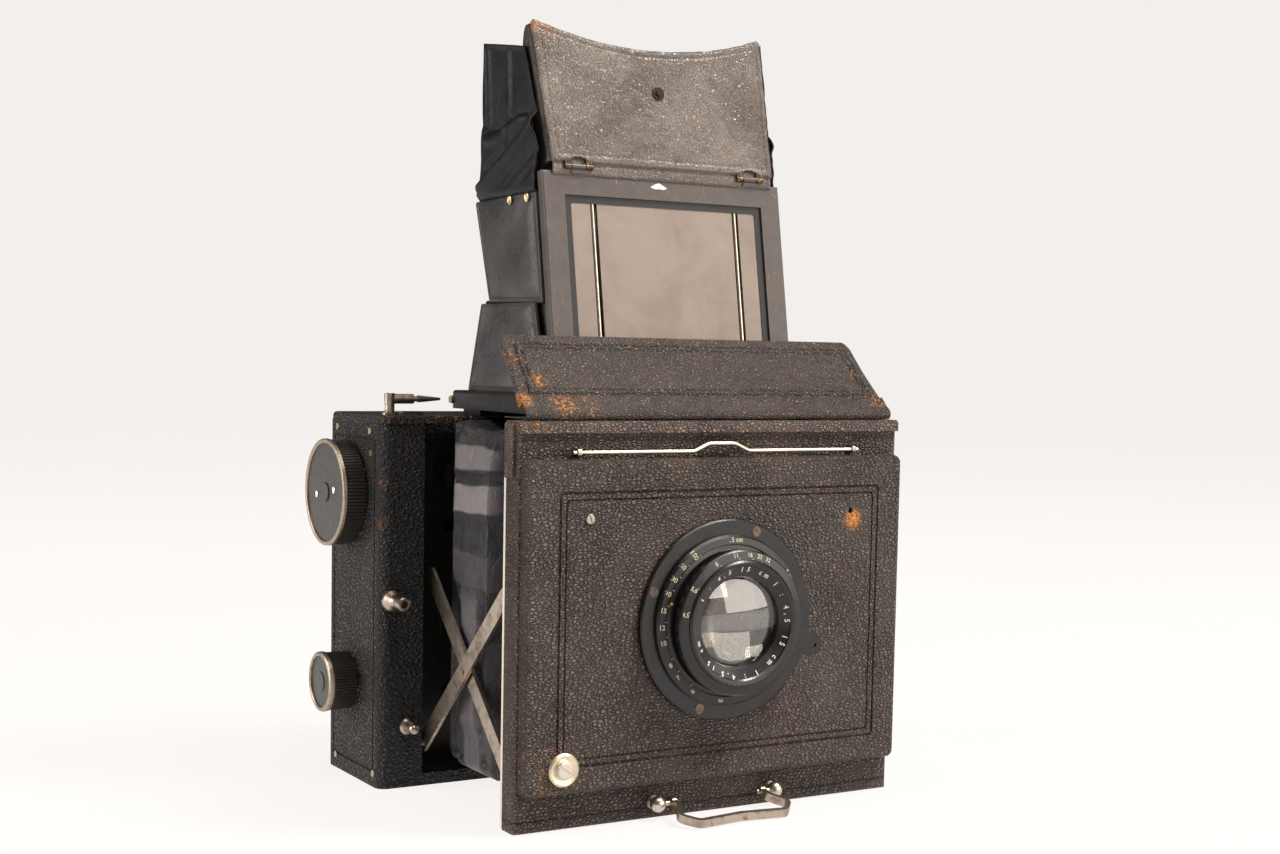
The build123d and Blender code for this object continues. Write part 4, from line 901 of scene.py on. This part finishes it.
def knob_details():
    """Two face screws and a ring of small marks on the winding knob, and the tension knob's rim and face."""
    heads = [turned((WINDING_FACE, WINDING_Y + y, WINDING_Z + z), (-1, 0, 0),
                    [(1.35, -0.1), (1.35, 0.25), (1.1, 0.38), (0.0, 0.42)], 16, 0.6)
             for y, z in ((-9.5, 1.5), (9.5, -1.5))]
    piece("knob_screws", *joined(heads), NICKEL, "winding_knob", slot="bright_nickel")
    marks, radius, count = [], 18.8, 30
    for step in range(count):
        a = 2 * pi * step / count
        long = 1.9 if step % 5 == 0 else 1.1
        along, across = Vector((0, cos(a), sin(a))), Vector((0, -sin(a), cos(a)))
        centre = Vector((WINDING_FACE - 0.04, WINDING_Y, WINDING_Z))
        marks.append(([tuple(centre + along * r + across * t) for r, t in (
            (radius, -0.13), (radius, 0.13), (radius - long, 0.13), (radius - long, -0.13))], [(0, 1, 2, 3)]))
    piece("knob_marks", *joined(marks), FAINT, "winding_knob", slot="brass")
    rim = [(10.5, -0.35), (10.55, 0.3), (10.9, 0.6), (11.7, 0.6), (12.25, 0.2), (12.4, -0.4), (12.35, -1.5)]
    face = [(10.6, 0.0), (10.5, 0.12), (4.2, 0.16), (4.0, 0.5), (0.0, 0.6)]
    piece("tension_rim", *turned((TENSION_FACE - 0.3, TENSION_Y, TENSION_Z), (-1, 0, 0), rim, 72), RIM,
          "tension_knob", slot="tarnished_nickel")
    piece("tension_face", *turned((TENSION_FACE, TENSION_Y, TENSION_Z), (-1, 0, 0), face, 64), DIAL,
          "tension_knob", slot="knob_black")


def finder_rim_shadow():
    """A rounded rim between the hood frame and its plates, painted near black as the shadow in the plates'
    recess, and a chip in the frame's paint.
    """
    loops = [(46.1, 8.9, 74.9, 0.3, -0.75), (46.1, 8.9, 74.9, 0.3, -1.15), (45.0, 9.9, 73.9, 3.0, -1.05),
             (45.2, 9.7, 74.1, 2.8, -0.75)]
    points = []
    for half, low, high, radius, deep in loops:
        corners = [(-half, low, 0), (half, low, 0), (half, high, 0), (-half, high, 0)]
        points += [leaned((p[0], deep, p[1]), HOOD_PIVOT, HOOD_LEAN)
                   for p in board_outline(corners, [radius] * 4, 8)]
    count = len(points) // len(loops)
    starts = range(0, len(points), count)
    faces = [f for a, b in zip(starts, [*starts[1:], 0]) for f in loop_faces(a, b, count)]
    piece("finder_rim_shadow", points, faces, RIM_SHADOW_BLACK, "hood_frame", slot="black_metal", angle=40)
    outline = [(-3.8, 79.9), (-2.0, 79.3), (0.6, 79.4), (2.4, 79.2), (3.9, 79.9), (2.6, 80.6), (1.5, 81.2),
               (0.2, 81.8), (-1.4, 81.3), (-2.7, 80.7)]
    points = [leaned((x - 3.0, -2.05, w), HOOD_PIVOT, HOOD_LEAN) for x, w in outline]
    piece("frame_chip", points, [tuple(range(len(outline)))], CHIP, "hood_frame", slot="hood_metal")


knob_details()
finder_rim_shadow()


# ---- bellows
def bellows_section(t):
    """A point and outward direction on the bellows' section, and the kind of wall it is in, for t
    from one upper edge round to the other."""
    corner, roof = 3.0, 9.0
    half, top, bottom = 72.6, 148.6, 11.4
    bend, wall = ("arc", corner * pi / 2), ("side", top - bottom - 2 * corner)
    floor = ("floor", 2 * half - 2 * corner)
    runs = [("roof", roof), bend, wall, bend, floor, bend, wall, bend, ("roof", roof)]
    x, z = -half + corner + roof, top
    heading = pi
    left = t * sum(length for _, length in runs)
    for kind, length in runs:
        step = min(left, length)
        if kind == "arc":
            centre = (x + corner * cos(heading + pi / 2), z + corner * sin(heading + pi / 2))
            heading += step / corner
            x = centre[0] + corner * cos(heading - pi / 2)
            z = centre[1] + corner * sin(heading - pi / 2)
        else:
            x += step * cos(heading)
            z += step * sin(heading)
        left -= step
        if left <= 1e-9:
            break
    return x, z, cos(heading - pi / 2), sin(heading - pi / 2), kind


# Each turn of the pleats, as (y, how far it stands out).
PLEATS = [(-103.7, -2.5), (-100.0, 2.0), (-96.5, -3.2), (-91.0, 2.8), (-86.5, -4.0), (-82.0, 2.0),
          (-77.0, -6.0), (-71.0, 4.7), (-41.0, 4.7), (-36.5, -4.5), (-32.5, 0.8), (-28.4, -2.0)]


def pleat(y):
    for (y0, a), (y1, b) in zip(PLEATS, PLEATS[1:]):
        if y <= y1:
            return a + (b - a) * ((y - y0) / (y1 - y0))
    return PLEATS[-1][1]


def bellows_push(x, y, z, kind):
    """How far the bellows stand out of their section: pleats, the side walls' creases and wrinkles."""
    push = pleat(y + (0.1 * (z - 76) / 7.0 if kind == "side" else 0.0))
    if kind == "floor":
        push *= 0.35
    elif z > 138:
        push *= max(0.35, 1 - (z - 138) / 16.0)
    elif z < 24:
        push *= max(0.5, 1 - (24 - z) / 24.0)
    middle = sin(pi * (y + 103.7) / 75.3)
    if kind != "floor" and z > 126:
        gusset = (z - 126) / 22.0
        push -= 6.0 * gusset ** 1.5 * max(0.0, 1 - abs(y + 60) / 22)
    level = 2.2 if kind != "floor" else 0.8
    push += level * middle * (0.45 * rough_noise(x, y, z, 26.0, 5.0) + 0.07 * rough_noise(x, y, z, 8.0, 9.0))
    if kind == "side":
        push += 0.5 * crease(z - 129.7, 0.7) - 0.9 * crease(z - 126.5, 2.5) * middle
        push += 0.5 * crease(z - 113.4, 0.7) - 0.7 * crease(z - 108.0, 3.5) * middle
        for start, tilt in ((111.0, 1.15), (96.0, -0.9), (84.0, 0.9), (70.0, -1.1)):
            gap = z - start - tilt * (y + 66)
            push += 0.85 * crease(gap, 1.5) * clipped((112 - z) / 4) * max(0.0, 1 - abs(y + 56) / 16)
        low = clipped((90 - z) / 14)
        push -= 4.6 * crease(y + 43.0, 3.2) * low + 3.4 * crease(y + 65.0, 2.4) * low
        push += 1.0 * crease(y + 54.0, 3.5) * low
        push += 0.8 * crease(z - 24 + 0.7 * (y + 55), 1.4) + 0.7 * crease(z - 19 + 0.5 * (y + 55), 1.2)
    if kind != "roof":
        # Room for the struts at the sides, and for their brackets near the floor.
        push = min(push, 4.9, 1.8 + 4.0 * max(0.0, (z - 24.0) / 10.0))
    return push


def bellows():
    ys = samples(PLEATS[0][0], PLEATS[-1][0], 1.5, [y for y, _ in PLEATS[1:-1]], 0.5, 0.5)
    turns = 340
    points = []
    for i in range(turns + 1):
        x, z, nx, nz, kind = bellows_section(i / turns)
        for y in ys:
            push = bellows_push(x, y, z, kind)
            points.append((x + nx * push, y, z + nz * push))
    made = piece("bellows_cloth", points, grid_faces(turns + 1, len(ys)), BELLOWS, "rear_body", ["bellows"],
                 "bellows_cloth", 32)
    thicken(made, 0.5)
    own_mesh(made)


bellows()


# ---- numbers and marks
INK_GAP = 0.03


def flat_text(text, size):
    """The glyphs of a text, flat, as (points, faces) in millimetres with its middle at the origin."""
    curve = bpy.data.curves.new("ink", "FONT")
    curve.body = text
    curve.size = size
    curve.align_x, curve.align_y = "CENTER", "CENTER"
    curve.offset = 0.018 * size
    curve.resolution_u = 3
    holder = bpy.data.objects.new("ink", curve)
    bpy.context.scene.collection.objects.link(holder)
    mesh = bpy.data.meshes.new_from_object(holder.evaluated_get(bpy.context.evaluated_depsgraph_get()))
    shapes = [tuple(v.co) for v in mesh.vertices], [tuple(f.vertices) for f in mesh.polygons]
    bpy.data.objects.remove(holder)
    bpy.data.meshes.remove(mesh)
    return shapes


def ring_marks(name, marks, body, material, slot, y_at):
    """Marks round the lens. Each is (text or None, angle, radius, size, upright), angle in degrees
    anticlockwise from the right. None draws a short line. y_at gives Y for a radius."""
    parts = []
    for text, angle, radius, size, upright in marks:
        a = radians(angle)
        if text is None:
            wide, tall = size * 0.09, size / 2
            glyph = [(-wide, -tall, 0), (wide, -tall, 0), (wide, tall, 0), (-wide, tall, 0)]
            faces = [(0, 1, 2, 3)]
        else:
            glyph, faces = flat_text(text, size)
        turn = a - pi / 2 if upright else a + pi
        points = []
        for gx, gy, _ in glyph:
            px = radius * cos(a) + gx * cos(turn) - gy * sin(turn)
            pz = radius * sin(a) + gx * sin(turn) + gy * cos(turn)
            points.append((px, y_at(hypot(px, pz)), LENS_Z + pz))
        parts.append((points, faces))
    piece(name, *joined(parts), material, body, slot=slot)


def scale_y(radius):
    """Just above the face of the fixed scale ring, which slopes away near its rim."""
    if radius < 32.0:
        out = 4.9 - (radius - 29.6) * 0.3 / 2.4
    else:
        out = 4.6 - (radius - 32.0) * 1.0 / 0.9
    return PANEL_FRONT - out - INK_GAP


def ring_y(radius):
    """Just above the sloping face of the aperture ring."""
    if radius < 27.3:
        out = 12.0 + (27.3 - radius) * 0.6 / 3.1
    else:
        out = 11.4 + (27.9 - radius)
    return PANEL_FRONT - out - INK_GAP


def dish_y(radius):
    """Just above the dished face of the name ring."""
    stops = [(17.7, 10.7), (21.4, 12.6), (22.0, 13.2), (23.2, 13.4)]
    for (r0, a), (r1, b) in zip(stops, stops[1:]):
        if radius <= r1:
            return PANEL_FRONT - (a + (b - a) * (radius - r0) / (r1 - r0)) - INK_GAP
    return PANEL_FRONT - 13.45


distances = [("6", 237), ("7", 221), ("8", 210), ("10", 193), ("12", 182), ("15", 170), ("20", 158),
             ("30", 147), ("50", 136), ("100", 124)]
focal_lengths = [("15 cm", 88), ("15 cm", 33), ("m", 262)]
apertures = [("4,5", 170), ("5,6", 148), ("8", 118), ("11", 98), ("16", 84), ("22", 74), ("32", 65)]
for name, marks, body, y_at in (
        ("focus_numbers", [(text, a, 31.1, 2.7, False) for text, a in distances], "front_standard", scale_y),
        ("focus_ticks", [(None, a - 4.0, 29.4, 1.0, True) for _, a in distances], "front_standard", scale_y),
        ("focal_length_marks", [(text, a, 31.0, 2.6, True) for text, a in focal_lengths], "front_standard",
         scale_y),
        ("aperture_numbers", [(text, a, 26.0, 2.3, a < 130) for text, a in apertures], "aperture_ring", ring_y),
        ("aperture_ticks", [(None, a - 3.0, 24.7, 0.8, True) for _, a in apertures], "aperture_ring", ring_y)):
    ring_marks(name, marks, body, CREAM, "brass", y_at)

# The name ring's letters are read clockwise, from an angle down.
round_the_ring = [
    (letter, start - i * step, 20.5, 2.6, True)
    for text, start, step in (("1 : 4,5", 152, 7.4), ("15 cm", 92, 8.2), ("1 : 4,5", 44, 7.4),
                              ("15 cm", -18, 8.2), ("1 : 4,5", 290, 7.4), ("15 cm", 232, 8.2))
    for i, letter in enumerate(text) if letter != " "]
ring_marks("name_ring_numbers", round_the_ring, "lens_unit", WHITE, "black_metal", dish_y)

index_angle, index_radius = radians(164), 28.4
index_place = (index_radius * cos(index_angle), PANEL_FRONT - 5.0, LENS_Z + index_radius * sin(index_angle))
piece("focus_index_dot", *turned(index_place, (0, -1, 0), [(0.55, -0.2), (0.55, 0.05), (0.0, 0.12)], 14),
      ORANGE, "focus_barrel", slot="brass")


# ---- camera, light and floor
def soft_light(name, place, target, width, height, power, color):
    lamp = bpy.data.lights.new(name, "AREA")
    lamp.shape = "RECTANGLE"
    lamp.size, lamp.size_y = width, height
    lamp.energy = power
    lamp.color = color
    holder = bpy.data.objects.new(name, lamp)
    holder.location = place
    holder.rotation_euler = (Vector(target) - Vector(place)).to_track_quat("-Z", "Y").to_euler()
    bpy.context.scene.collection.objects.link(holder)


soft_light("key_light", (1.3, -1.5, 0.62), (0, -0.08, 0.1), 2.0, 1.05, 22.0, (1.0, 0.93, 0.86))
soft_light("grain_light", (0.85, -0.75, 1.75), (0, -0.08, 0.12), 0.35, 0.35, 34.0, (1.0, 0.93, 0.86))
soft_light("left_light", (-1.75, 0.55, 0.75), (0, 0.0, 0.1), 1.1, 1.3, 28.0, (1.0, 0.95, 0.9))
soft_light("top_light", (0.1, -0.45, 1.9), (0, -0.05, 0.15), 1.3, 1.1, 18.0, (1.0, 0.955, 0.91))
soft_light("front_light", (0.35, -2.2, 0.9), (0, 0.0, 0.12), 0.8, 0.5, 5.0, (1.0, 0.94, 0.87))


def studio_world():
    """A near-white backdrop, which lights the object far less than it shows."""
    world = bpy.data.worlds.new("studio")
    bpy.context.scene.world = world
    world.use_nodes = True
    nodes, links = world.node_tree.nodes, world.node_tree.links
    backdrop, dim = nodes["Background"], nodes.new("ShaderNodeBackground")
    for node, color, strength in ((backdrop, (0.888, 0.864, 0.84, 1.0), 1.0),
                                  (dim, (1.0, 0.97, 0.94, 1.0), 0.1)):
        node.inputs["Color"].default_value = color
        node.inputs["Strength"].default_value = strength
    both = nodes.new("ShaderNodeMixShader")
    seen = nodes.new("ShaderNodeLightPath").outputs["Is Camera Ray"]
    for source, target in ((seen, both.inputs[0]), (dim.outputs[0], both.inputs[1]),
                           (backdrop.outputs[0], both.inputs[2]),
                           (both.outputs[0], nodes["World Output"].inputs["Surface"])):
        links.new(source, target)


def floor_material():
    s = Surface("studio_floor")
    s.put(s.bsdf, {"Emission Color": (1.0, 0.968, 0.945), "Emission Strength": 0.875})
    return s.finish(s.mix(s.noise(240.0, 3.0), (0.1, 0.095, 0.09), (0.12, 0.115, 0.11)), 0.8, specular=0.1)


studio_world()
bpy.context.scene.view_settings.view_transform = "Standard"

FLOOR_HALF = 30
floor_mesh = bpy.data.meshes.new("studio_floor")
floor_mesh.from_pydata(
    [(x * FLOOR_HALF, y * FLOOR_HALF, 0) for x, y in ((-1, -1), (1, -1), (1, 1), (-1, 1))], [], [(0, 1, 2, 3)])
floor_mesh.materials.append(floor_material())
floor = bpy.data.objects.new("studio_floor", floor_mesh)
floor.location = (0, 0, cad_low[2] - 0.0002)
bpy.context.scene.collection.objects.link(floor)
floor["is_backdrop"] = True

# The camera stands where the photograph was taken from.
lens = bpy.data.cameras.new("view")
lens.sensor_width = 36.0
lens.lens = 51.71
lens.shift_y = 0.0544
lens.dof.use_dof = False
camera = bpy.data.objects.new("view", lens)
camera.location = (-0.3874, -0.7059, 0.1768)
camera.rotation_euler = [radians(v) for v in (85.569, -1.077, -30.717)]
bpy.context.scene.collection.objects.link(camera)
bpy.context.scene.camera = camera

low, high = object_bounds()
